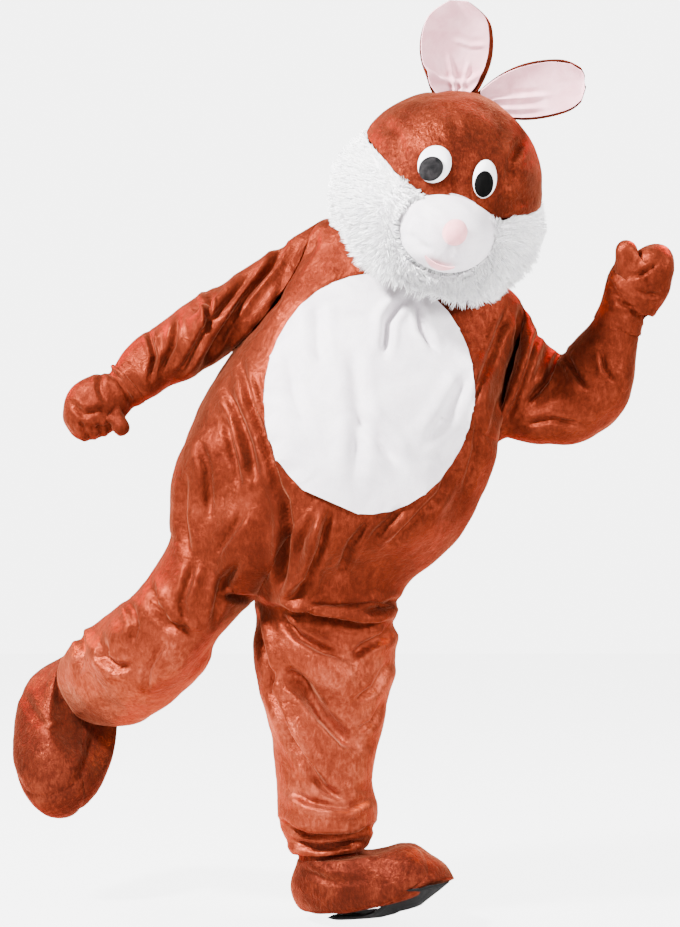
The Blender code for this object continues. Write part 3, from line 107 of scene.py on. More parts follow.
def edges_of(faces):
    """Each edge once, and the three edges of every face."""
    pairs = np.sort(np.concatenate([faces[:, [0, 1]], faces[:, [1, 2]], faces[:, [2, 0]]]), axis=1)
    edges, back = np.unique(pairs, axis=0, return_inverse=True)
    return edges, back.reshape(3, -1).T


def cross_of(points, faces):
    a, b, c = (points[faces[:, i]] for i in range(3))
    return np.cross(b - a, c - a)


def edge_keys(pairs, count):
    """One number for each pair of points."""
    return np.sort(pairs, axis=1) @ np.array([count, 1])


def add_neighbours(total, values, edges):
    """Adds to every point's total the values at the other ends of its edges."""
    np.add.at(total, edges[:, 0], values[edges[:, 1]])
    np.add.at(total, edges[:, 1], values[edges[:, 0]])
    return total


def point_normals(points, faces, chosen):
    cross = cross_of(points, faces[chosen])
    total = np.zeros_like(points)
    for i in range(3):
        np.add.at(total, faces[chosen][:, i], cross)
    return unit(total)


def face_pairs(faces, of_face, count):
    """The two faces on each edge."""
    order = np.argsort(of_face.reshape(-1), kind="stable")
    edge = of_face.reshape(-1)[order]
    face = (np.arange(of_face.size) // 3)[order]
    start = np.searchsorted(edge, np.arange(count))
    return face[start], face[np.minimum(start + 1, len(face) - 1)]


def rims(points, faces, thinnest=RIM_EDGE):
    """The sharp edges where a wall turns over its rim, and for each face 0 (outer), 1 (inner) or 2 (rim)."""
    edges, of_face = edges_of(faces)
    sides = np.linalg.norm(points[edges[:, 0]] - points[edges[:, 1]], axis=1)
    thin = sides[of_face].min(axis=1) < thinnest
    normals = unit(cross_of(points, faces))
    left, right = face_pairs(faces, of_face, len(edges))
    turn = np.arccos(np.clip((normals[left] * normals[right]).sum(axis=1), -1, 1))
    sharp = (turn > RIM_ANGLE) & (thin[left] | thin[right]) | (turn > RIM_STEP) & (thin[left] ^ thin[right])
    group = np.arange(len(faces))
    soft = ~sharp
    while True:
        low = np.minimum(group[left[soft]], group[right[soft]])
        new = group.copy()
        np.minimum.at(new, left[soft], low)
        np.minimum.at(new, right[soft], low)
        new = new[new]
        if (new == group).all():
            break
        group = new
    area = np.bincount(group, np.linalg.norm(cross_of(points, faces), axis=1), len(faces))
    ranked = np.argsort(-area)
    side = np.full(len(faces), 2)
    side[group == ranked[1]] = 1
    side[group == ranked[0]] = 0
    return edges[sharp], side


class Surface:
    """Triangles that are halved smoothly (Loop's rule), with creases along the rims."""

    def __init__(self, points, faces, sharp, side):
        self.points, self.faces, self.sharp, self.side = points, faces, sharp, side

    def masks(self):
        edges, of_face = edges_of(self.faces)
        count = len(self.points)
        is_sharp = np.isin(edge_keys(edges, count), edge_keys(self.sharp, count))
        ring = add_neighbours(np.zeros_like(self.points), self.points, edges)
        valence = np.bincount(edges.reshape(-1), minlength=count).astype(float)
        hard = edges[is_sharp]
        rim = add_neighbours(np.zeros_like(self.points), self.points, hard)
        ways = np.bincount(hard.reshape(-1), minlength=count)
        return edges, of_face, is_sharp, ring, valence, rim, ways

    def moved(self, limit):
        """The points after one halving or, at the limit, after endless halving."""
        _, _, _, ring, valence, rim, ways = self.masks()
        beta = (5 / 8 - (3 / 8 + np.cos(2 * np.pi / valence) / 4) ** 2) / valence
        share = 1 / (valence + 3 / (8 * beta)) if limit else beta
        smooth = (1 - valence * share)[:, None] * self.points + share[:, None] * ring
        a = 1 / 6 if limit else 1 / 8
        crease = (1 - 2 * a) * self.points + a * rim
        out = np.where((ways == 2)[:, None], crease, smooth)
        return np.where((ways > 2)[:, None], self.points, out)

    def kept(self, rounds=2):
        """Pushes the points out so that the smooth surface passes near the first ones."""
        first = self.points.copy()
        for _ in range(rounds):
            self.points = self.points + PUSH * (first - self.moved(True))
        return self

    def halve(self):
        edges, of_face, is_sharp, _, _, _, _ = self.masks()
        count = len(self.points)
        across = np.zeros((len(edges), 3))
        for i in range(3):
            np.add.at(across, of_face[:, i], self.points[self.faces[:, (i + 2) % 3]])
        ends = self.points[edges[:, 0]] + self.points[edges[:, 1]]
        middle = np.where(is_sharp[:, None], ends / 2, 3 / 8 * ends + across / 8)
        new = np.vstack([self.moved(False), middle])
        a, b, c = self.faces.T
        ab, bc, ca = (of_face + count).T
        faces = np.stack([
            np.stack([a, ab, ca], 1), np.stack([ab, b, bc], 1),
            np.stack([ca, bc, c], 1), np.stack([ab, bc, ca], 1),
        ], 1).reshape(-1, 3)
        hard, mid = edges[is_sharp], np.nonzero(is_sharp)[0] + count
        sharp = np.vstack([np.stack([hard[:, 0], mid], 1), np.stack([hard[:, 1], mid], 1)])
        return Surface(new, faces, sharp, np.repeat(self.side, 4))

    def outer_points(self):
        return np.unique(self.faces[self.side == 0])

    def seam_points(self):
        """The outer side's points along its rims."""
        return np.intersect1d(self.faces[self.side == 2], self.outer_points())

    def displace(self, field, normals=None):
        """Moves the outer side along its normals by field(points, normals), and the inner side with it."""
        if normals is None:
            normals = point_normals(self.points, self.faces, self.side == 0)
        outer = self.outer_points()
        move = np.zeros_like(self.points)
        move[outer] = normals[outer] * field(self.points[outer], normals[outer])[:, None]
        tree = tree_of(self.points[outer], outer)
        for i in np.setdiff1d(np.arange(len(self.points)), outer):
            move[i] = move[tree.find(self.points[i])[1]]
        self.points = self.points + move


def fine(name, halvings, thinnest=RIM_EDGE):
    points, faces = node_mesh(name)
    surface = Surface(points, faces, *rims(points, faces, thinnest)).kept()
    for _ in range(halvings):
        surface = surface.halve()
    return surface


def shown(name, data):
    """A new object in the scene."""
    thing = bpy.data.objects.new(name, data)
    bpy.context.collection.objects.link(thing)
    return thing


def put(name, points, faces, look, sharp=None):
    """A mesh of smooth triangles; sharp holds the pairs of points on its hard edges."""
    mesh = bpy.data.meshes.new(name)
    mesh.vertices.add(len(points))
    mesh.vertices.foreach_set("co", np.asarray(points, float).reshape(-1))
    mesh.loops.add(len(faces) * 3)
    mesh.loops.foreach_set("vertex_index", np.asarray(faces).reshape(-1))
    mesh.polygons.add(len(faces))
    mesh.polygons.foreach_set("loop_start", np.arange(len(faces)) * 3)
    mesh.update(calc_edges=True)
    mesh.polygons.foreach_set("use_smooth", np.ones(len(faces), bool))
    if sharp is not None and len(sharp):
        pairs = np.empty(len(mesh.edges) * 2, int)
        mesh.edges.foreach_get("vertices", pairs)
        hard = np.isin(edge_keys(pairs.reshape(-1, 2), len(points)), edge_keys(sharp, len(points)))
        mark = mesh.attributes.get("sharp_edge") or mesh.attributes.new("sharp_edge", "BOOLEAN", "EDGE")
        mark.data.foreach_set("value", hard)
    mesh.validate()
    mesh.materials.append(look)
    return shown(name, mesh)


# ------------------------ folds

def lattice(points, seed):
    """Smooth noise from -1 to 1 at unit scale."""
    base = np.floor(points).astype(np.int64)
    part = points - base
    part = part * part * (3 - 2 * part)
    total = np.zeros(len(points))
    for corner in range(8):
        step = np.array([corner & 1, corner >> 1 & 1, corner >> 2 & 1])
        cell = (base + step) * np.array([374761393, 668265263, 2147483647 // 5])
        value = (cell.sum(axis=1) + seed * 974634777) & 0xFFFFFFFF
        value = ((value ^ (value >> 13)) * 1274126177) & 0xFFFFFFFF
        value = ((value ^ (value >> 16)) & 0xFFFF) / 32767.5 - 1
        weight = np.prod(np.where(step, part, 1 - part), axis=1)
        total += value * weight
    return total


def noise(points, size, seed):
    return lattice(points / size + 100.37 + seed * 7.13, seed)


def seen(points):
    """Where the points stand in the photograph, in its pixels."""
    far = (points[:, 1] - CAMERA[1]) / -CAMERA[1]
    x = CENTRE[0] + (points[:, 0] - CAMERA[0]) / (PIXEL * far)
    y = CENTRE[1] - (points[:, 2] - CAMERA[2]) / (PIXEL * far)
    return np.stack([x, y], axis=1)


def step(value, low, high):
    t = np.clip((value - low) / (high - low), 0, 1)
    return t * t * (3 - 2 * t)


def stroke(where, line, width):
    """Distance across a line of pixels in widths, and how far along it from 0 to 1."""
    line = np.array(line, float)
    best = np.full(len(where), 1e9)
    signed, along = np.zeros(len(where)), np.zeros(len(where))
    lengths = np.linalg.norm(np.diff(line, axis=0), axis=1)
    whole, run = lengths.sum(), 0.0
    for a, b, size in zip(line, line[1:], lengths):
        way = (b - a) / size
        t = np.clip((where - a) @ way, 0, size)
        off = where - a - t[:, None] * way
        gap = np.linalg.norm(off, axis=1)
        near = gap < best
        best = np.where(near, gap, best)
        signed = np.where(near, np.sign(off @ np.array([-way[1], way[0]])) * gap, signed)
        along = np.where(near, (run + t) / whole, along)
        run += size
    return signed / width, along


def crease(across, along, lean):
    """A trough with soft shoulders; the more it leans, the more one side stands over the other."""
    trough = 0.42 * np.exp(-((np.abs(across) - 1.9) / 1.0) ** 2) - np.exp(-(across * 1.1) ** 2)
    ledge = -1.9 * across * np.exp(-(across / 1.15) ** 2)
    fade = step(along, 0.0, 0.22) * step(1 - along, 0.0, 0.30)
    shape = (1 - 0.7 * abs(lean)) * trough + lean * ledge
    return shape * (0.12 + 0.88 * fade) * np.where((along <= 0) | (along >= 1), np.exp(-across ** 2), 1)


FRONT, BACK, EITHER = -1, 1, 0  # which way a fold's cloth faces, as a sign of y
# By part and facing: each fold's width in px, depth, lean, and its line in pixels of the photograph.
FOLDS = {}
FOLDS["body", FRONT] = (
    (4.5, 10, 0.6, (240, 350), (252, 401), (266, 442), (278, 479), (285, 524)),
    (4.5, 8, -0.5, (222, 384), (236, 418), (246, 446), (256, 490)),
    (4.0, 7, 0.6, (226, 410), (234, 450), (242, 490)),
    (4.5, 6, -0.6, (198, 440), (206, 470), (208, 520)),
    (5.0, 6, 0.5, (186, 470), (184, 520), (192, 560)),
    (4.5, 13, -0.5, (277, 480), (284, 502), (286, 525), (281, 560), (276, 598)),
    (5.0, 11, -0.7, (332, 506), (323, 525), (318, 551), (307, 580), (289, 598), (272, 604)),
    (4.5, 6, 0.6, (318, 516), (304, 540), (300, 560)),
    (5.0, 6, 0.6, (248, 510), (234, 532), (214, 560)),
    (4.0, 8, 0.7, (222, 594), (250, 596), (271, 604)),
    (4.5, 6, 0.4, (405, 505), (385, 528), (366, 545)),
    (4.5, 7, -0.6, (440, 490), (415, 518), (385, 548)),
    (4.0, 6, 0.5, (372, 520), (352, 545), (340, 580)),
    (4.0, 6, 0.6, (452, 455), (446, 490), (430, 520)),
    (4.0, 5, -0.5, (478, 400), (474, 450), (460, 500)),
    (4.5, 12, 0.4, (508, 312), (497, 345), (484, 380), (468, 413)),
    (4.5, 6, -0.5, (318, 232), (300, 262), (284, 292)),
    (4.0, 8, 0.6, (290, 262), (280, 300), (262, 326), (240, 345)),
    (4.0, 6, 0.5, (256, 372), (262, 392), (268, 420)),
    (4.5, 10, 0.7, (152, 580), (156, 603), (170, 622), (205, 636)),
    (4.5, 8, -0.6, (101, 636), (100, 658), (114, 670), (136, 668)),
    (4.0, 7, 0.6, (80, 622), (84, 650), (80, 676)),
    (4.0, 6, -0.5, (128, 600), (134, 626), (128, 650)),
    (4.5, 7, 0.5, (196, 560), (184, 600), (188, 640)),
    (4.5, 7, -0.5, (240, 560), (222, 580), (210, 626)),
    (4.0, 6, 0.5, (168, 640), (150, 668), (146, 700)),
    (4.5, 14, 0.8, (270, 605), (300, 611), (336, 618), (361, 622), (398, 620)),
    (4.5, 9, 0.6, (277, 609), (300, 634), (321, 646), (346, 656)),
    (4.0, 8, 0.5, (402, 600), (384, 608), (362, 615)),
    (4.5, 9, 0.5, (396, 624), (386, 638), (366, 648), (352, 658)),
    (4.0, 8, 0.5, (254, 604), (261, 641), (272, 676), (271, 694)),
    (4.5, 10, 0.6, (279, 664), (272, 692), (284, 721), (300, 759)),
    (7.0, 13, -0.6, (278, 668), (300, 690), (321, 719), (343, 743), (364, 750)),
    (5.0, 9, 0.6, (286, 724), (304, 758), (325, 786), (352, 803)),
    (4.0, 6, 0.5, (392, 660), (376, 690), (350, 706)),
    (4.0, 6, -0.5, (384, 700), (372, 722), (352, 732)),
    (4.0, 7, -0.6, (286, 790), (310, 804), (345, 810), (374, 800)),
    (3.6, 10, 0.7, (279, 818), (310, 832), (352, 832), (384, 822)),
    (3.6, 8, -0.6, (284, 842), (320, 850), (368, 842)),
)
FOLDS["body", BACK] = (
    (6.0, 9, 0.5, (250, 330), (236, 380), (232, 450)),
    (5.0, 7, -0.5, (440, 330), (452, 380), (444, 440)),
    (6.0, 9, 0.5, (300, 470), (270, 520), (215, 560)),
    (5.0, 10, -0.6, (420, 520), (360, 570), (290, 590)),
    (5.0, 6, 0.5, (330, 300), (310, 360), (322, 430)),
    (5.0, 10, 0.7, (290, 604), (340, 620), (392, 636)),
    (5.0, 8, -0.5, (300, 640), (330, 680), (380, 690)),
    (4.5, 8, 0.5, (280, 720), (320, 750), (370, 745)),
    (4.0, 8, -0.6, (282, 800), (320, 820), (374, 812)),
    (4.5, 8, 0.6, (190, 600), (160, 640), (120, 660)),
    (4.5, 8, -0.5, (210, 640), (180, 670), (140, 690)),
    (4.5, 7, 0.5, (240, 540), (220, 580), (170, 610)),
)
FOLDS["right_sleeve", FRONT] = (
    (4.0, 13, 0.6, (292, 232), (273, 266), (246, 299), (221, 340), (200, 374)),
    (3.6, 8, -0.6, (282, 290), (262, 318), (240, 346)),
    (4.0, 8, 0.6, (256, 272), (225, 309), (205, 333), (188, 365), (172, 384)),
    (3.0, 8, -0.7, (206, 290), (207, 310), (206, 334)),
    (3.4, 6, 0.5, (236, 270), (212, 296), (186, 318)),
    (3.0, 6, 0.5, (150, 330), (156, 356), (150, 384)),
    (3.0, 5, -0.5, (178, 318), (172, 346), (158, 372)),
)
FOLDS["right_sleeve", BACK] = (
    (4.0, 8, 0.5, (280, 268), (230, 310), (180, 350)),
    (4.0, 7, -0.5, (240, 330), (200, 350), (150, 372)),
)
FOLDS["left_sleeve", FRONT] = (
    (3.6, 11, 0.6, (524, 306), (518, 345), (504, 395), (491, 438)),
    (3.6, 8, -0.6, (538, 326), (528, 362), (514, 400), (500, 428)),
    (3.6, 8, 0.6, (562, 352), (548, 380), (524, 410)),
    (3.0, 7, -0.5, (566, 356), (576, 376), (588, 392)),
    (3.4, 6, 0.5, (520, 424), (550, 418), (585, 424)),
    (3.0, 5, -0.5, (600, 350), (604, 370), (616, 384)),
)
FOLDS["left_sleeve", BACK] = (
    (4.0, 8, 0.5, (520, 320), (540, 360), (560, 400)),
    (4.0, 8, -0.5, (560, 350), (590, 380), (600, 410)),
)
FOLDS["tummy", FRONT] = (
    (7.0, 7, 0.2, (318, 300), (318, 340), (322, 372)),
    (8.0, 7, -0.2, (351, 340), (358, 418), (353, 492)),
    (5.0, 13, -0.4, (404, 296), (386, 320), (383, 356)),
    (4.0, 11, 0.5, (418, 300), (423, 328), (438, 350)),
    (7.0, 9, 0.3, (358, 411), (382, 438), (402, 467)),
    (7.0, 7, -0.3, (468, 372), (444, 418), (424, 444)),
    (6.0, 5, 0.3, (288, 350), (296, 400), (312, 440)),
)
FOLDS["boot", FRONT] = (
    (4.0, 4, 0.5, (300, 868), (330, 880), (362, 878)),
    (4.0, 4, -0.5, (372, 852), (380, 866), (392, 876)),
    (4.0, 4, 0.5, (22, 690), (40, 720), (66, 732)),
    (4.0, 3, -0.5, (92, 730), (84, 760), (70, 786)),
)
FOLDS["mitt", FRONT] = (
    (3.0, 5, 0.5, (84, 424), (96, 428), (112, 424)),
    (3.0, 4, -0.5, (100, 372), (98, 388), (104, 404)),
    (3.0, 5, 0.5, (70, 400), (84, 413), (100, 408), (114, 416)),
    (2.4, 5, -0.4, (78, 420), (85, 434), (92, 444)),
    (2.4, 4, 0.4, (98, 420), (102, 434), (99, 446)),
    (3.0, 6, 0.7, (104, 364), (120, 378), (132, 400), (136, 412)),
    (3.0, 7, 0.7, (606, 276), (622, 298), (642, 316), (668, 320)),
    (2.6, 5, -0.5, (634, 290), (648, 296), (664, 296)),
    (2.6, 5, 0.5, (632, 276), (646, 270), (658, 262)),
    (3.0, 5, 0.5, (612, 320), (626, 334), (644, 344)),
    (3.0, 4, 0.5, (636, 262), (648, 276), (652, 296)),
    (3.0, 4, -0.5, (618, 290), (630, 310), (640, 322)),
)
FOLDS["mitt", BACK] = (
    (3.4, 5, 0.5, (74, 392), (90, 404), (108, 404)),
    (3.4, 5, -0.5, (624, 280), (640, 300), (660, 306)),
)
FOLDS["head", FRONT] = (
    (4.0, 3, 0.4, (452, 186), (458, 196), (480, 208)),
    (4.0, 4, -0.4, (500, 196), (515, 204), (534, 202)),
    (6.0, 2, 0.4, (384, 118), (400, 136), (404, 160)),
    (6.0, 2, -0.4, (440, 100), (452, 122), (454, 142)),
    (5.0, 4, 0.5, (524, 140), (512, 160), (514, 184)),
    (6.0, 2, -0.5, (490, 112), (500, 132), (496, 150)),
)
FOLDS["head", BACK] = (
    (6.0, 5, 0.5, (420, 110), (424, 150), (410, 190)),
    (6.0, 5, -0.5, (490, 120), (486, 160), (500, 200)),
)
FOLDS["muzzle", FRONT] = (
    (4.0, 1, 0.2, (452, 242), (447, 254), (440, 264)),
    (4.5, 4, 0.4, (414, 208), (428, 214), (442, 222)),
    (5.0, 3, -0.4, (404, 232), (414, 246), (430, 256)),
)
FOLDS["ear", EITHER] = (
    (3.0, 5, 0.5, (422, 52), (440, 66), (466, 70), (488, 56)),
    (2.4, 4, -0.5, (446, 40), (452, 64), (456, 92)),
    (2.2, 3, 0.5, (470, 48), (464, 72), (458, 94)),
    (2.6, 5, 0.5, (486, 98), (500, 92), (530, 90), (556, 88)),
    (2.4, 3, 0.4, (452, 28), (470, 34), (488, 34)),
    (2.4, 4, -0.5, (490, 104), (520, 104), (552, 102)),
)
SUIT = ("body", "right_sleeve", "left_sleeve", "tummy")
SOFTNESS = {  # how far billows and ripples stand out, in metres
    "suit": (0.0045, 0.0012), "head": (0.0040, 0.0018), "boot": (0.0030, 0.0014), "mitt": (0.0022, 0.0012),
}
STIFF = (0.0016, 0.0007)
OVAL, OVAL_HALF = np.array([369.0, 394.0]), np.array([104.0, 119.0])  # the tummy patch in the photograph
QUIET = (  # px x, px y, reach px, share of the folds taken out where panels meet at an angle
    (262, 596, 16, 0.75), (244, 336, 26, 0.95), (264, 314, 26, 0.95), (288, 284, 20, 0.85),
    (298, 262, 18, 0.85), (508, 350, 20, 0.85), (501, 386, 26, 0.85),
)
FOLD_SCALE = 0.0019  # metres for one step of a fold's depth
BILLOWS, RIPPLES = (0.095, 0.050), 0.026  # sizes of the slack between the folds
PATCH_PRESS = 0.003  # how far the suit sinks behind the tummy patch
SEAM_DIP, SEAM_WIDTH = 0.0022, 0.006
EASING = 8  # rounds that bring a panel's normals in line with its seams
SHARE_REACH, JOIN_REACH = 0.004, 0.0013  # points this near share a normal, or are sewn together


def in_oval(where, normals):
    """1 inside the outline of the tummy patch, fading to 0 just outside it."""
    far = np.linalg.norm((where - OVAL) / OVAL_HALF, axis=1)
    return step(-far, -1.06, -0.97) * step(-normals[:, 1], 0.0, 0.2)


def creases(part):
    """Field of moves along the normals: suit parts share theirs, so that their seams stay closed."""
    group = SUIT if part in ("suit", "tummy") else (part,)
    rows = [(*key, *fold) for key, folds in FOLDS.items() if key[0] in group for fold in folds]
    large, small = SOFTNESS.get("suit" if group is SUIT else part, STIFF)

    def field(points, normals):
        where = seen(points)
        oval = in_oval(where, normals)
        out = large * noise(points, BILLOWS[0], 3) + 0.5 * large * noise(points, BILLOWS[1], 5)
        out += small * noise(points, RIPPLES, 9)
        if group is SUIT:
            out = out * (1 - 0.5 * oval)
        for kind, facing, width, depth, lean, *line in rows:
            box, reach = np.array(line, float), 5 * width
            near = ((where > box.min(axis=0) - reach) & (where < box.max(axis=0) + reach)).all(axis=1)
            if not near.any():
                continue
            across, along = stroke(where[near], line, width)
            mask = step(facing * normals[near, 1], -0.30, 0.15) * np.exp(-(across / 4) ** 4)
            if kind == "tummy":
                mask = mask * oval[near]
            elif kind == "body" and facing < 0:
                mask = mask * (1 - 0.8 * oval[near])
            out[near] += FOLD_SCALE * depth * crease(across, along, lean) * mask
        if group is SUIT:
            for x, y, reach, share in QUIET:
                out *= 1 - share * np.exp(-(np.linalg.norm(where - (x, y), axis=1) / reach) ** 2)
        if part == "suit":
            out -= PATCH_PRESS * step(oval, 0.3, 1.0)
        return out

    return field


def seam_dip(surface, dip=SEAM_DIP, normals=None):
    """The pile parts over a seam, so the outer side sinks along its rims."""
    edge = surface.seam_points()
    if len(edge):
        tree = tree_of(surface.points[edge])
        gaps = np.array([tree.find(point)[2] for point in surface.points[surface.outer_points()]])
        sunk = -dip * np.exp(-(gaps / SEAM_WIDTH) ** 2)
        surface.displace(lambda points, ways: sunk, normals)


# ------------------------ materials

def srgb(r, g, b):
    def line(v):
        v = v / 255
        return v / 12.92 if v <= 0.04045 else ((v + 0.055) / 1.055) ** 2.4
    return (line(r), line(g), line(b), 1)


def grey(value):
    return (value, value, value, 1)


class Nodes:
    """The nodes of a material or a world."""

    def __init__(self, owner):
        owner.use_nodes = True
        self.tree = owner.node_tree

    def feed(self, node, sockets):
        """Sets a node's inputs to values, or links them to another node's output."""
        for key, value in sockets.items():
            if isinstance(value, bpy.types.NodeSocket):
                self.tree.links.new(value, node.inputs[key])
            elif value is not None:
                node.inputs[key].default_value = value

    def add(self, kind, sockets, output, **settings):
        """A new node's output."""
        node = self.tree.nodes.new(kind)
        for key, value in settings.items():
            setattr(node, key, value)
        self.feed(node, sockets)
        return node.outputs[output]

    def maths(self, operation, first, second):
        return self.add("ShaderNodeMath", {0: first, 1: second}, "Value", operation=operation)

    def end(self, node, plain, bright, share):
        """The camera sees a share of the bright shader; everything else meets the plain one."""
        ray = self.add("ShaderNodeLightPath", {}, "Is Camera Ray")
        parts = {0: self.maths("MULTIPLY", ray, share), 1: plain.outputs[0], 2: bright}
        self.feed(self.tree.nodes[node], {"Surface": self.add("ShaderNodeMixShader", parts, 0)})


class Look(Nodes):
    """A material, built step by step."""

    def __init__(self, name):
        self.material = bpy.data.materials.new(name)
        super().__init__(self.material)
        self.shader = self.tree.nodes["Principled BSDF"]
        self.place = self.add("ShaderNodeTexCoord", {}, "Object")

    def noise(self, scale, detail=3.0, distortion=0.0, roughness=0.55, place=None):
        return self.add("ShaderNodeTexNoise", {
            "Scale": scale, "Detail": detail, "Roughness": roughness, "Distortion": distortion,
            "Vector": place or self.place}, "Fac")

    def stretched(self, scale, turn):
        return self.add("ShaderNodeMapping", {
            "Scale": scale, "Rotation": turn, "Vector": self.place}, "Vector")

    def ramp(self, value, *stops):
        colour = self.add("ShaderNodeValToRGB", {"Fac": value}, "Color")
        points = colour.node.color_ramp.elements
        while len(points) < len(stops):
            points.new(0.5)
        for point, (place, shade) in zip(points, stops):
            point.position, point.color = place, shade
        return colour

    def times(self, share, first, second):
        """The first colour, multiplied by a share of the second."""
        return self.add("ShaderNodeMix", {"Factor": share, 6: first, 7: second}, 2,
                        data_type="RGBA", blend_type="MULTIPLY")

    def height(self, low, high):
        """0 at the height low and 1 at the height high, in metres."""
        z = self.add("ShaderNodeSeparateXYZ", {0: self.place}, "Z")
        return self.add("ShaderNodeMapRange", {"From Min": low, "From Max": high, "Value": z}, "Result",
                        interpolation_type="SMOOTHSTEP")

    def weighted(self, *parts):
        """The sum of values, each by its share."""
        total, *others = [self.maths("MULTIPLY", value, share) for value, share in parts]
        for other in others:
            total = self.maths("ADD", total, other)
        return total

    def cells(self, scale):
        """Distance from the middle of the nearest cell."""
        return self.add("ShaderNodeTexVoronoi", {"Scale": scale, "Vector": self.place}, "Distance",
                        feature="F1")

    def bump(self, height, strength, distance, under=None):
        return self.add("ShaderNodeBump", {
            "Strength": strength, "Distance": distance, "Height": height, "Normal": under}, "Normal")

    def finish(self, colour, normal=None, **values):
        named = {key.replace("_", " "): value for key, value in values.items()}
        self.feed(self.shader, {"Base Color": colour, "Normal": normal, **named})
        return self.material


def plush(name, colours, size=1.0, painted_sheen=None):
    """Short satin pile: broad patches where the nap lies another way, crushed spots in them, and its tips;
    and, if asked, a painted sheen highlight that makes the colour paler from one height down.
    """
    look = Look(name)
    nap = look.noise(7.0 / size, 3, 0.9, 0.5)
    crushed = look.noise(52 / size, 4, 0.7, 0.62)
    brushed = look.noise(150 / size, 3, 0.4, 0.6, look.stretched((1, 1, 0.45), (0, 0.42, 0)))
    tips = look.noise(520, 2, 0.3, 0.6)
    grain = look.noise(1500, 1, 0, 0.5)
    parts = [(nap, 0.42), (crushed, 0.24), (brushed, 0.34)]
    # painted sheen: the tone is pushed paler from one height down, a painted highlight on the shins
    if painted_sheen:
        parts.append((look.height(*painted_sheen), 0.16))
    tone = look.weighted(*parts)
    colour = look.ramp(tone, *((place, srgb(*rgb)) for place, rgb in zip(NAP_STOPS, colours)))
    colour = look.times(0.6, colour, look.ramp(tips, (0.32, grey(0.62)), (0.62, grey(1.0))))
    normal = look.bump(crushed, 0.55, 0.0055)
    normal = look.bump(brushed, 0.30, 0.0018, normal)
    normal = look.bump(grain, 0.3, 0.0006, look.bump(tips, 0.4, 0.0012, normal))
    rough = look.ramp(tone, (0.42, grey(0.50)), (0.58, grey(0.36)))
    return look.finish(colour, normal, Roughness=rough, Metallic=SATIN, Specular_IOR_Level=0.0,
                       Specular_Tint=COPPER, Sheen_Weight=0.24, Sheen_Roughness=0.4, Sheen_Tint=COPPER)


def soft_white(name, scale, depth, low=(226, 221, 226), high=(248, 246, 246)):
    look = Look(name)
    cloud = look.noise(14, 4, 0.5, 0.6)
    pile = look.noise(scale, 3, 0.6, 0.6)
    grain = look.noise(scale * 3, 2, 0.2, 0.6)
    colour = look.ramp(cloud, (0.30, srgb(*low)), (0.62, srgb(*high)))
    colour = look.times(0.7, colour, look.ramp(pile, (0.25, (0.84, 0.83, 0.85, 1)), (0.60, grey(1))))
    normal = look.bump(grain, 0.35, depth * 0.4, look.bump(pile, 0.6, depth))
    return look.finish(colour, normal, Roughness=0.88, Sheen_Weight=0.35, Sheen_Roughness=0.5,
                       Sheen_Tint=(1, 1, 1, 1), Specular_IOR_Level=0.2)


def fur_look(name, dark, light):
    look = Look(name)
    lock = look.noise(60, 3, 0.4)
    colour = look.ramp(lock, (0.30, dark), (0.60, light))
    return look.finish(colour, None, Roughness=0.55, Specular_IOR_Level=0.35, Sheen_Weight=0.8,
                       Sheen_Roughness=0.5)


def velour(name, low, high):
    look = Look(name)
    cloud = look.noise(22, 4, 0.6, 0.6)
    pile = look.noise(900, 2, 0.2, 0.6)
    colour = look.ramp(cloud, (0.30, low), (0.66, high))
    normal = look.bump(pile, 0.4, 0.0008, look.bump(look.noise(70, 3, 0.8), 0.25, 0.002))
    return look.finish(colour, normal, Roughness=0.8, Sheen_Weight=0.4, Sheen_Roughness=0.4,
                       Sheen_Tint=(1, 0.93, 0.93, 1), Specular_IOR_Level=0.25)


def net_look(name, dark, light):
    """Fine see-through mesh over the eye hole."""
    look = Look(name)
    cells = look.cells(900)
    cloud = look.noise(45, 3, 1.0)
    thread = look.ramp(cells, (0.20, grey(0.35)), (0.42, grey(1)))
    colour = look.times(0.6, look.ramp(cloud, (0.35, dark), (0.68, light)), thread)
    return look.finish(colour, look.bump(cells, 0.5, 0.0008), Roughness=0.7, Specular_IOR_Level=0.04)


def sole_look(name):
    look = Look(name)
    scuff = look.noise(26, 5, 0.8, 0.65)
    colour = look.ramp(scuff, (0.42, srgb(4, 4, 4)), (0.78, srgb(22, 21, 21)))
    rough = look.ramp(scuff, (0.4, grey(0.60)), (0.7, grey(0.85)))
    return look.finish(colour, look.bump(look.cells(420), 0.5, 0.0008), Roughness=rough,
                       Specular_IOR_Level=0.12)


def tape_look(name):
    look = Look(name)
    rib = look.add("ShaderNodeTexWave", {"Scale": 420, "Distortion": 0.4, "Vector": look.place}, "Fac",
                   wave_type="BANDS", bands_direction="Z")
    colour = look.ramp(rib, (0.2, srgb(52, 24, 14)), (0.8, srgb(92, 44, 26)))
    return look.finish(colour, look.bump(rib, 0.5, 0.0004), Roughness=0.7)


def metal_look(name):
    look = Look(name)
    wear = look.noise(240, 4, 0.3, 0.6)
    colour = look.ramp(wear, (0.35, srgb(168, 165, 160)), (0.7, srgb(214, 211, 206)))
    rough = look.ramp(wear, (0.3, grey(0.22)), (0.7, grey(0.42)))
    return look.finish(colour, look.bump(wear, 0.2, 0.0003), Roughness=rough, Metallic=1.0)


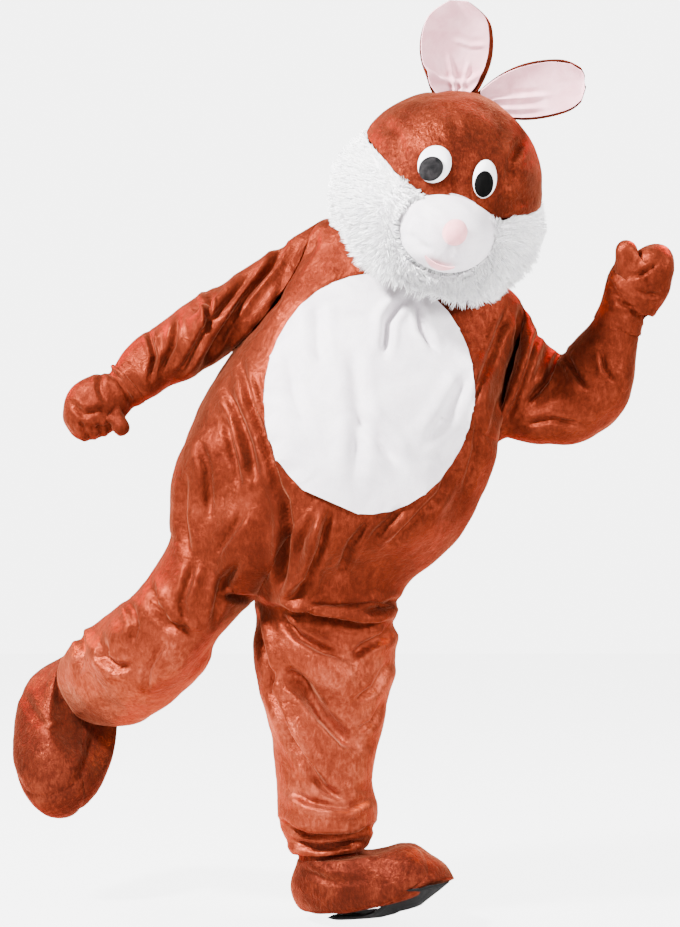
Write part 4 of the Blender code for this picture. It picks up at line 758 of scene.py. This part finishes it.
SATIN = 0.62  # the share of light that the pile throws back in its own colour
COPPER = (1, 0.32, 0.17, 1)
NAP_STOPS = (0.38, 0.46, 0.52, 0.63, 0.76)  # from the deepest to the palest of a plush's five colours
SHIN_PAINTED_SHEEN = (-0.68, -0.86)  # from this height down to this one the colour is painted paler, a painted sheen highlight on the shins
BROWN = plush("brown_plush_dressed", (
    (68, 22, 12), (79, 27, 15), (90, 32, 18), (114, 44, 27), (150, 68, 46)), painted_sheen=SHIN_PAINTED_SHEEN)
BOOT_BROWN = plush("boot_plush_dressed", (
    (52, 17, 10), (62, 21, 13), (74, 26, 16), (100, 40, 25), (120, 52, 34)), 0.8)
HEAD_BROWN = plush("head_plush_dressed", (
    (54, 17, 9), (68, 23, 13), (83, 29, 16), (114, 45, 27), (140, 62, 41)), 0.6)
WHITE = soft_white("white_plush_dressed", 420, 0.0016, (204, 196, 202), (226, 219, 223))
FUR = fur_look("white_fur_dressed", srgb(228, 226, 230), srgb(252, 251, 250))
FUR_BED = soft_white("white_fur_bed", 160, 0.004)
PINK = velour("pink_velour_dressed", srgb(206, 142, 152), srgb(228, 174, 182))
NOSE_PINK = velour("nose_velour_dressed", srgb(222, 140, 146), srgb(236, 168, 172))
FELT = soft_white("white_felt_dressed", 700, 0.0008)
NET_GREY = net_look("grey_net_dressed", srgb(12, 12, 13), srgb(38, 36, 37))
NET_BLACK = net_look("black_net_dressed", srgb(1, 1, 1), srgb(4, 4, 4))
SOLE = sole_look("black_sole_dressed")
TAPE = tape_look("zip_tape_dressed")
METAL = metal_look("zip_metal_dressed")


# ------------------------ pieces

def stands(thing, slot, *nodes):
    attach(thing, "root")
    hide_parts(*nodes)
    return thing


PLACED = {}
# How far each eye and pupil sits from its node, in metres, and its width and height against the node's.
EYES = {
    "right": ((-0.0075, -0.0010, -0.0080, 0.93, 1.0), (-0.0060, -0.0030, -0.0130, 1.04, 0.96)),
    "left": ((-0.0070, -0.0015, -0.0020, 0.84, 1.0), (-0.0070, -0.0040, -0.0050, 0.84, 1.02)),
}
SOLES = {"right": (0.86, (0.005, 0, 0.002)), "left": (0.97, (0.002, -0.004, 0.000))}
EARS_MOVE = {"right": np.array([0.003, -0.004, -0.026]), "left": np.array([-0.006, -0.004, -0.012])}
LINING_MOVE = {"right": np.array([-0.004, -0.0055, 0.003]), "left": np.array([-0.004, -0.0050, -0.001])}
FUR_COUNT, FUR_LENGTH, FUR_WIDTH, FUR_INSET = 7000, 0.034, 0.00090, 0.018
MUZZLE = np.array([0.022, -0.31, 0.030])
FUR_SOURCE = np.array([0.026, -0.36, 0.03])  # the fur is combed away from the muzzle
FUR_SEEDS = {"right": (11, 21), "left": (12, 22)}  # for the roots, and for the way of each strand
BED_EDGE = (0.082, 0.125)  # from the muzzle's middle: where the fur's bed starts to sink, and where it has
RING = (0.112, 0.140)  # nearer than this the strands lean in over the muzzle's edge
# A strand's way at its root and at its tip: shares out of the bed, away from the muzzle, down, in swirls
# and by chance, and then what the ring adds out and away.
STRAND_WAYS = ((0.75, 0.75, 0.0, 0.30, 0.10), (0.9, -1.5)), ((0.32, 0.95, 0.40, 0.45, 0.12), (0.9, -1.3))


def strands(name, roots, first, last, lengths, radius, look):
    """Tapering three-sided strands that start along first and bend towards last, drawn together in locks."""
    count = len(roots)
    chance = np.random.default_rng(7)
    heads = np.sort(chance.choice(count, count // 9, replace=False))
    tree = tree_of(roots[heads])
    leader = heads[[tree.find(root)[1] for root in roots]]
    tips = roots + lengths[:, None] * (first + last) / 2
    pull = (tips[leader] - tips) * 0.45
    turn = unit(np.cross(last, chance.normal(size=(count, 3))))
    other = unit(np.cross(last, turn))
    rings = []
    for t, share in ((0.0, 1.0), (0.45, 0.85), (0.80, 0.5)):
        middle = roots + lengths[:, None] * (t * first + t * t / 2 * (last - first)) + pull * t * t
        for k in range(3):
            angle = 2 * math.pi * k / 3
            rings.append(middle + radius * share * (math.cos(angle) * turn + math.sin(angle) * other))
    points = np.stack([*rings, tips + pull], axis=1).reshape(-1, 3)
    small = []
    for low in (0, 3):
        for k in range(3):
            a, b = low + k, low + (k + 1) % 3
            small += [(a, b, b + 3), (a, b + 3, a + 3)]
    small += [(6 + k, 6 + (k + 1) % 3, 9) for k in range(3)]
    faces = (np.arange(count)[:, None, None] * 10 + np.array(small)[None]).reshape(-1, 3)
    return put(name, points, faces, look)


def scattered(points, faces, count, seed):
    """Even random roots on a surface, and the triangle that carries each."""
    chance = np.random.default_rng(seed)
    area = np.linalg.norm(cross_of(points, faces), axis=1)
    which = np.searchsorted(np.cumsum(area) / area.sum(), (np.arange(count) + chance.random(count)) / count)
    which = np.clip(which, 0, len(faces) - 1)
    u, v = np.sqrt(chance.random(count)), chance.random(count)
    weights = np.stack([1 - u, u * (1 - v), u * v], axis=1)
    return (points[faces[which]] * weights[:, :, None]).sum(axis=1), which, weights


def beard(side):
    """The ruff: a soft bed of cloth and its long white fur."""
    root_seed, way_seed = FUR_SEEDS[side]
    surface = fine(f"ruff_{side}", 2, RUFF_RIM_EDGE)
    inner = surface.side == 1
    normals = point_normals(surface.points, surface.faces, ~inner)
    open_points = np.unique(surface.faces[~inner])
    bed = surface.points.copy()
    from_muzzle = np.linalg.norm((bed - MUZZLE)[:, [0, 2]], axis=1)
    inset = FUR_INSET * (0.45 + 0.55 * step(0.10 - bed[:, 2], 0.0, 0.12)) * step(from_muzzle, *BED_EDGE)
    bed[open_points] -= normals[open_points] * inset[open_points, None]
    piece = put(f"beard_{side}_bed", bed, surface.faces, FUR_BED)
    stands(piece, "white_fur", f"ruff_{side}")
    hairy = surface.faces[~inner]
    roots, which, weights = scattered(bed, hairy, FUR_COUNT, root_seed)
    out = unit((normals[hairy[which]] * weights[:, :, None]).sum(axis=1))
    chance = np.random.default_rng(way_seed)
    away = unit(roots - FUR_SOURCE)
    away = unit(away - 0.9 * (away * out).sum(axis=1)[:, None] * out)
    swirl = np.stack([noise(roots, 0.030, 31 + k) for k in range(3)], axis=1)
    down = np.array([0.0, 0.0, -1.0])
    ring = 1 - step(np.linalg.norm((roots - MUZZLE)[:, [0, 2]], axis=1), *RING)
    ways = []
    for (up, off, sag, curl, luck), (ring_up, ring_off) in STRAND_WAYS:
        way = unit(up * out + off * away + sag * down + curl * swirl + luck * chance.normal(size=out.shape))
        ways.append(unit(way + ring[:, None] * (ring_up * out + ring_off * away)))
    low = step(-(roots[:, 2] - 0.06), 0.0, 0.10)
    lengths = FUR_LENGTH * (0.55 + 0.45 * low) * (0.8 + 0.35 * chance.random(len(roots)))
    lengths = lengths * (1 - 0.20 * ring)
    fur = strands(f"beard_{side}_fur", roots, *ways, lengths, FUR_WIDTH, FUR)
    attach(fur, "root")


def seam_mates(surfaces, places, reach):
    """Every seam point, as its surface and its number, with those that lie within reach of it."""
    every = [(order, i) for order, s in enumerate(surfaces) for i in s.seam_points()]
    tree = tree_of([places[order][i] for order, i in every])
    for order, i in every:
        yield (order, i), [every[k] for _, k, _ in tree.find_range(places[order][i], reach)]


def shared_normals(surfaces):
    """Normals of each suit panel, the same on both sides of a seam and easing in from it."""
    normals = [point_normals(s.points, s.faces, s.side == 0) for s in surfaces]
    mates = seam_mates(surfaces, [s.points for s in surfaces], SHARE_REACH)
    shared = [(place, unit(sum(normals[o][j] for o, j in near))) for place, near in mates]
    for (order, i), normal in shared:
        normals[order][i] = normal
    for order, s in enumerate(surfaces):
        fixed = s.seam_points()
        kept = normals[order][fixed].copy()
        edges, _ = edges_of(s.faces[s.side == 0])
        for _ in range(EASING):
            normals[order] = unit(add_neighbours(normals[order].copy(), normals[order], edges))
            normals[order][fixed] = kept
    return normals


# How each piece of cloth is held, and what it was cut to: width, length and flat area, in metres.
CUT = {}
CUT["draped"] = {
    "suit_front_right": (0.8, 1.3, 0.5),
    "suit_front_left": (0.75, 1.4, 0.56),
    "suit_back_right": (0.8, 1.25, 0.44),
    "suit_back_left": (0.75, 1.4, 0.5),
    "tummy": (0.46, 0.52, 0.176),
}
CUT["gathered"] = {
    "arm_right_front": (0.24, 0.6, 0.112),
    "arm_right_back": (0.24, 0.6, 0.101),
    "arm_left_front": (0.26, 0.55, 0.108),
    "arm_left_back": (0.26, 0.55, 0.11),
}
CUT["stretched"] = {
    "glove_right_back": (0.17, 0.22, 0.023),
    "glove_right_palm": (0.17, 0.22, 0.026),
    "glove_right_thumb": (0.09, 0.09, 0.0054),
    "glove_left_back": (0.19, 0.22, 0.032),
    "glove_left_palm": (0.17, 0.22, 0.0265),
    "glove_left_thumb": (0.1, 0.11, 0.008),
    "cover_right_inner": (0.3, 0.36, 0.084),
    "cover_right_outer": (0.3, 0.38, 0.089),
    "cover_right_toe": (0.14, 0.18, 0.0176),
    "cover_left_inner": (0.3, 0.35, 0.081),
    "cover_left_outer": (0.3, 0.36, 0.085),
    "cover_left_toe": (0.12, 0.15, 0.0125),
    "cover_right_sole": (0.2, 0.3, 0.043),
    "cover_left_sole": (0.2, 0.3, 0.043),
    "ear_right_behind": (0.17, 0.24, 0.026),
    "ear_right_inside": (0.15, 0.22, 0.0224),
    "ear_left_behind": (0.15, 0.25, 0.024),
    "ear_left_inside": (0.13, 0.23, 0.019),
    "zip_right_tape": (0.02, 0.63, 0.011),
    "zip_left_tape": (0.02, 0.63, 0.011),
    "face_panel": (0.46, 0.38, 0.131),
    "hood": (0.5, 0.42, 0.156),
}


def joined(surfaces, starts):
    """Brings the two sides of each seam together; starts are the points from before the folds."""
    mates = seam_mates(surfaces, starts, JOIN_REACH)
    moved = [(place, np.mean([surfaces[o].points[j] for o, j in near], axis=0)) for place, near in mates]
    for (order, i), point in moved:
        surfaces[order].points[i] = point


# How some pieces are drawn in from their solids: px x, px y, reach px, and the move in metres (x, z).
DRAW = {
    "cover_left": (
        (290, 858, 18, 0.014, -0.004), (434, 852, 14, -0.005, -0.008),
        (404, 842, 18, 0.0, 0.008), (300, 908, 16, 0.006, 0.006),
    ),
    "ear_right": ((433, 84, 15, -0.013, 0.0), (480, 84, 12, 0.004, 0.0)),
}
# At px x along the boot on the floor, how far its lower edge and its sole's front edge and middle rise.
RISE_AT = (345, 385, 410, 447)
RISE = {
    "boot": (0.0, 0.008, 0.014, 0.034),
    "edge": (0.0, 0.048, 0.040, 0.044),
    "sole": (0.0, 0.0, 0.006, 0.040),
}
BOOT_LOW = (872, 904)  # px y over which the boot's rise sets in
SOLE_WRAP, SOLE_LENGTH = 0.045, 0.82  # metres of the sole that turn up, and its share of the solid's length
TUCK_REACH, TUCK_GAP = 0.005, 0.0012  # metres
EAR_TIP, EAR_PRESS = 584, 0.6  # px x past which the left ear's tip is pressed in, and the share


def drawn_in(surface, name):
    """A piece's points, drawn in to the outline that the photograph shows."""
    points = surface.points
    where = seen(points)
    pulls = () if name == "cover_left_sole" else DRAW.get(name.rsplit("_", 1)[0], ())
    for x, y, reach, right, up in pulls:
        share = np.exp(-(np.linalg.norm(where - (x, y), axis=1) / reach) ** 2)
        points = points + share[:, None] * np.array([right, 0.0, up])
    rise = {key: np.interp(where[:, 0], RISE_AT, heights) for key, heights in RISE.items()}
    if name == "cover_left_sole":
        near = step(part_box("boot_left_sole")[0][1] + SOLE_WRAP - points[:, 1], 0.0, SOLE_WRAP)
        up = near * rise["edge"] + (1 - near) * rise["sole"]
        points = points + np.stack([0 * near, -0.004 * near, up], axis=1)
        end = points[:, 0].max()
        points[:, 0] = end - SOLE_LENGTH * (end - points[:, 0])
    elif name.startswith("cover_left"):
        points[:, 2] += step(where[:, 1], *BOOT_LOW) * rise["boot"]
    elif name.startswith("ear_left"):
        points[:, 0] -= np.maximum(seen(points)[:, 0] - EAR_TIP, 0) * EAR_PRESS * PIXEL
    return points


def tuck(surface, cover):
    """Pushes a piece back where it would show through the cloth sewn in front of it."""
    tree = tree_of(cover * (1, 0, 1))
    for k, (x, y, z) in enumerate(surface.points):
        near = tree.find_range((x, 0, z), TUCK_REACH)
        if near:
            surface.points[k, 1] = max(y, max(cover[i, 1] for _, i, _ in near) + TUCK_GAP)


def cloth_piece(name, node, halvings, look, slot, part=None, dip=0.0, lift=0.0, move=(0, 0, 0),
                scale=(1, 1), shrink=1.0, made=None):
    """One sewn piece: its node's solid made fine and creased, or a surface made before, in its place."""
    surface = made or fine(node, halvings)
    if part and not made:
        surface.displace(creases(part))
    if dip:
        seam_dip(surface, dip)
    surface.points = drawn_in(surface, name)
    middle = (surface.points.min(axis=0) + surface.points.max(axis=0)) / 2
    stretch = np.array([scale[0], 1.0, scale[1]]) * shrink
    surface.points = middle + (surface.points - middle) * stretch + np.array(move)
    if lift:
        normals = point_normals(surface.points, surface.faces, surface.side == 0)
        outer = surface.outer_points()
        surface.points[outer] += normals[outer] * lift
    if name.endswith("_behind"):
        tuck(surface, PLACED[name.replace("_behind", "_inside")])
    PLACED[name] = surface.points
    piece = stands(put(name, surface.points, surface.faces, look, surface.sharp), slot, node)
    for held, cuts in CUT.items():
        if name in cuts:
            width, length, area = cuts[name]


PANELS = {}
for side in ("right", "left"):
    for face in ("front", "back"):
        PANELS[f"suit_{face}_{side}"] = f"body_{face}_{side}"
        PANELS[f"arm_{side}_{face}"] = f"sleeve_{side}_{face}"
suit = [fine(node, 3) for node in PANELS.values()]
starts = [surface.points.copy() for surface in suit]
for surface, normals in zip(suit, shared_normals(suit)):
    surface.displace(creases("suit"), normals)
for surface, normals in zip(suit, shared_normals(suit)):
    seam_dip(surface, normals=normals)
joined(suit, starts)
for surface, (name, node) in zip(suit, PANELS.items()):
    cloth_piece(name, node, 0, BROWN, "brown_plush", made=surface)

for side in ("right", "left"):
    for face in ("back", "palm", "thumb"):
        cloth_piece(f"glove_{side}_{face}", f"mitt_{side}_{face}", 2, BROWN, "brown_plush", "mitt", 0.0014)
    for face in ("inner", "outer", "toe"):
        cloth_piece(f"cover_{side}_{face}", f"boot_{side}_{face}", 2, BOOT_BROWN, "brown_plush", "boot",
                    0.0026)
    cloth_piece(f"cover_{side}_sole", f"boot_{side}_sole", 1, SOLE, "black_sole",
                shrink=SOLES[side][0], move=SOLES[side][1])
    cloth_piece(f"ear_{side}_inside", f"ear_lining_{side}", 3, PINK, "pink_velour", "ear",
                move=EARS_MOVE[side] + LINING_MOVE[side], scale=(1.05, 1.05))
    cloth_piece(f"ear_{side}_behind", f"ear_back_{side}", 2, BROWN, "brown_plush", move=EARS_MOVE[side])
    eye, pupil = EYES[side]
    net = NET_GREY if side == "right" else NET_BLACK
    cloth_piece(f"eye_{side}_white", f"eye_{side}", 2, FELT, "white_felt", move=eye[:3], scale=eye[3:])
    cloth_piece(f"eye_{side}_pupil", f"pupil_{side}", 2, net, "black_mesh", move=pupil[:3], scale=pupil[3:])
    beard(side)
    cloth_piece(f"zip_{side}_tape", f"zip_tape_{side}", 1, TAPE, "zip_tape")
cloth_piece("tummy", "belly_patch", 3, WHITE, "white_plush", "tummy", lift=0.0020)
cloth_piece("face_panel", "head_front", 3, HEAD_BROWN, "brown_plush", "head", 0.0015)
cloth_piece("hood", "head_back", 2, HEAD_BROWN, "brown_plush", "head", 0.0015)
cloth_piece("muzzle", "snout", 2, WHITE, "white_plush", "muzzle", scale=(1.08, 0.96),
            move=(0.008, 0.007, 0.000))
cloth_piece("nose_ball", "nose", 2, NOSE_PINK, "pink_velour", shrink=0.93, move=(0.008, 0, 0.006))
cloth_piece("mouth_patch", "mouth", 2, NOSE_PINK, "pink_velour", move=(0.006, -0.003, 0.001))


PITCH, TOOTH_LONG, TOOTH_WIDE, TOOTH_SHIFT = 0.00234, 0.0019, 0.00095, 0.0009  # metres


def zip_teeth(name):
    """Both rows of teeth, closed, along the line where the two tapes meet."""
    right, left = node_mesh("zip_tape_right")[0], node_mesh("zip_tape_left")[0]
    tree = tree_of(left)
    pairs = [(point, left[i]) for point in right for _, i, gap in [tree.find(point)] if gap < 0.004]
    middles = np.array([(a + b) / 2 for a, b in pairs])
    sides = unit(np.array([b - a for a, b in pairs]))
    order = np.argsort(-middles[:, 2])
    middles, sides = middles[order], sides[order]
    heights = np.arange(middles[0, 2] - 0.016, middles[-1, 2] + 0.004, -PITCH)
    line = np.stack([np.interp(-heights, -middles[:, 2], middles[:, k]) for k in range(3)], axis=1)
    across = unit(np.stack([np.interp(-heights, -middles[:, 2], sides[:, k]) for k in range(3)], axis=1))
    along = unit(np.gradient(line, axis=0))
    out = unit(np.cross(across, along))
    out = out * np.sign(out[:, 1])[:, None]
    block = [(-1, -1), (1, -1), (1, 1), (-1, 1)]
    faces = [(0, 1, 2), (0, 2, 3), (4, 6, 5), (4, 7, 6)]
    for k in range(4):
        a, b = k, (k + 1) % 4
        faces += [(a, a + 4, b + 4), (a, b + 4, b)]
    points, shapes = [], []
    for k in range(len(line)):
        shift = (TOOTH_SHIFT if k % 2 else -TOOTH_SHIFT) * across[k]
        for height, size in ((-0.0006, 1.0), (0.0016, 0.75)):
            for u, v in block:
                points.append(line[k] + shift + out[k] * height + across[k] * u * TOOTH_LONG * size
                              + along[k] * v * TOOTH_WIDE * size)
        shapes += [tuple(8 * k + i for i in face) for face in faces]
    return put(name, np.array(points), np.array(shapes), METAL)


teeth = zip_teeth("zip_teeth")
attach(teeth, "root")
for name in ("zip_slider", "zip_pull"):
    slots = NODES[name].data.materials
    for index in range(len(slots)):
        slots[index] = METAL


# ------------------------ floor, light, camera

BACKDROP = 7.0  # the brightness that the camera sees behind the costume


def plane(name, size, height, look):
    half = size / 2
    points = [(x, y, height) for x, y in ((-half, -half), (half, -half), (half, half), (-half, half))]
    return put(name, points, [(0, 1, 2), (0, 2, 3)], look)


def floor_look():
    """Pale paper, lit from within where the camera looks so that it meets the pale backdrop."""
    look = Look("studio_floor")
    colour = look.ramp(look.noise(3, 2), (0.3, grey(0.62)), (0.7, grey(0.66)))
    material = look.finish(colour, None, Roughness=0.95, Specular_IOR_Level=0.1)
    look.end("Material Output", look.shader, look.add("ShaderNodeEmission", {"Strength": BACKDROP}, 0), 0.72)
    return material


def area_light(name, place, target, size, power):
    data = bpy.data.lights.new(name, "AREA")
    data.shape, data.size, data.energy = "DISK", size, power
    thing = shown(name, data)
    thing.location = place
    thing.rotation_euler = (Vector(target) - Vector(place)).to_track_quat("-Z", "Y").to_euler()


FLOOR = min(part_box("boot_left_sole")[0][2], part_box("boot_right_sole")[0][2])
plane("floor", 14.0, FLOOR - 0.001, floor_look())
world = bpy.data.worlds.new("studio")
sky = Nodes(world)
dim = sky.tree.nodes["Background"]
sky.feed(dim, {"Color": (1, 1, 1, 1), "Strength": 0.18})
sky.end("World Output", dim, sky.add("ShaderNodeBackground", {"Strength": BACKDROP}, 0), 1.0)
bpy.context.scene.world = world
area_light("key", (-2.9, -2.3, 2.7), (-0.2, 0, -0.4), 0.7, 1650)
area_light("front", (0.6, -4.2, 1.2), (-0.2, 0, -0.4), 1.6, 120)
area_light("fill", (3.2, -1.8, 0.8), (-0.2, 0, -0.5), 1.0, 260)
area_light("rim", (2.2, 2.0, 2.4), (-0.2, 0, -0.2), 1.4, 430)
area_light("kick", (-3.0, 1.6, 1.4), (-0.3, 0, -0.4), 1.0, 330)

camera = bpy.data.cameras.new("photo_camera")
camera.lens, camera.sensor_width = LENS, 36
holder = shown("photo_camera", camera)
holder.location = CAMERA
holder.rotation_euler = (math.pi / 2, 0, 0)
bpy.context.scene.camera = holder
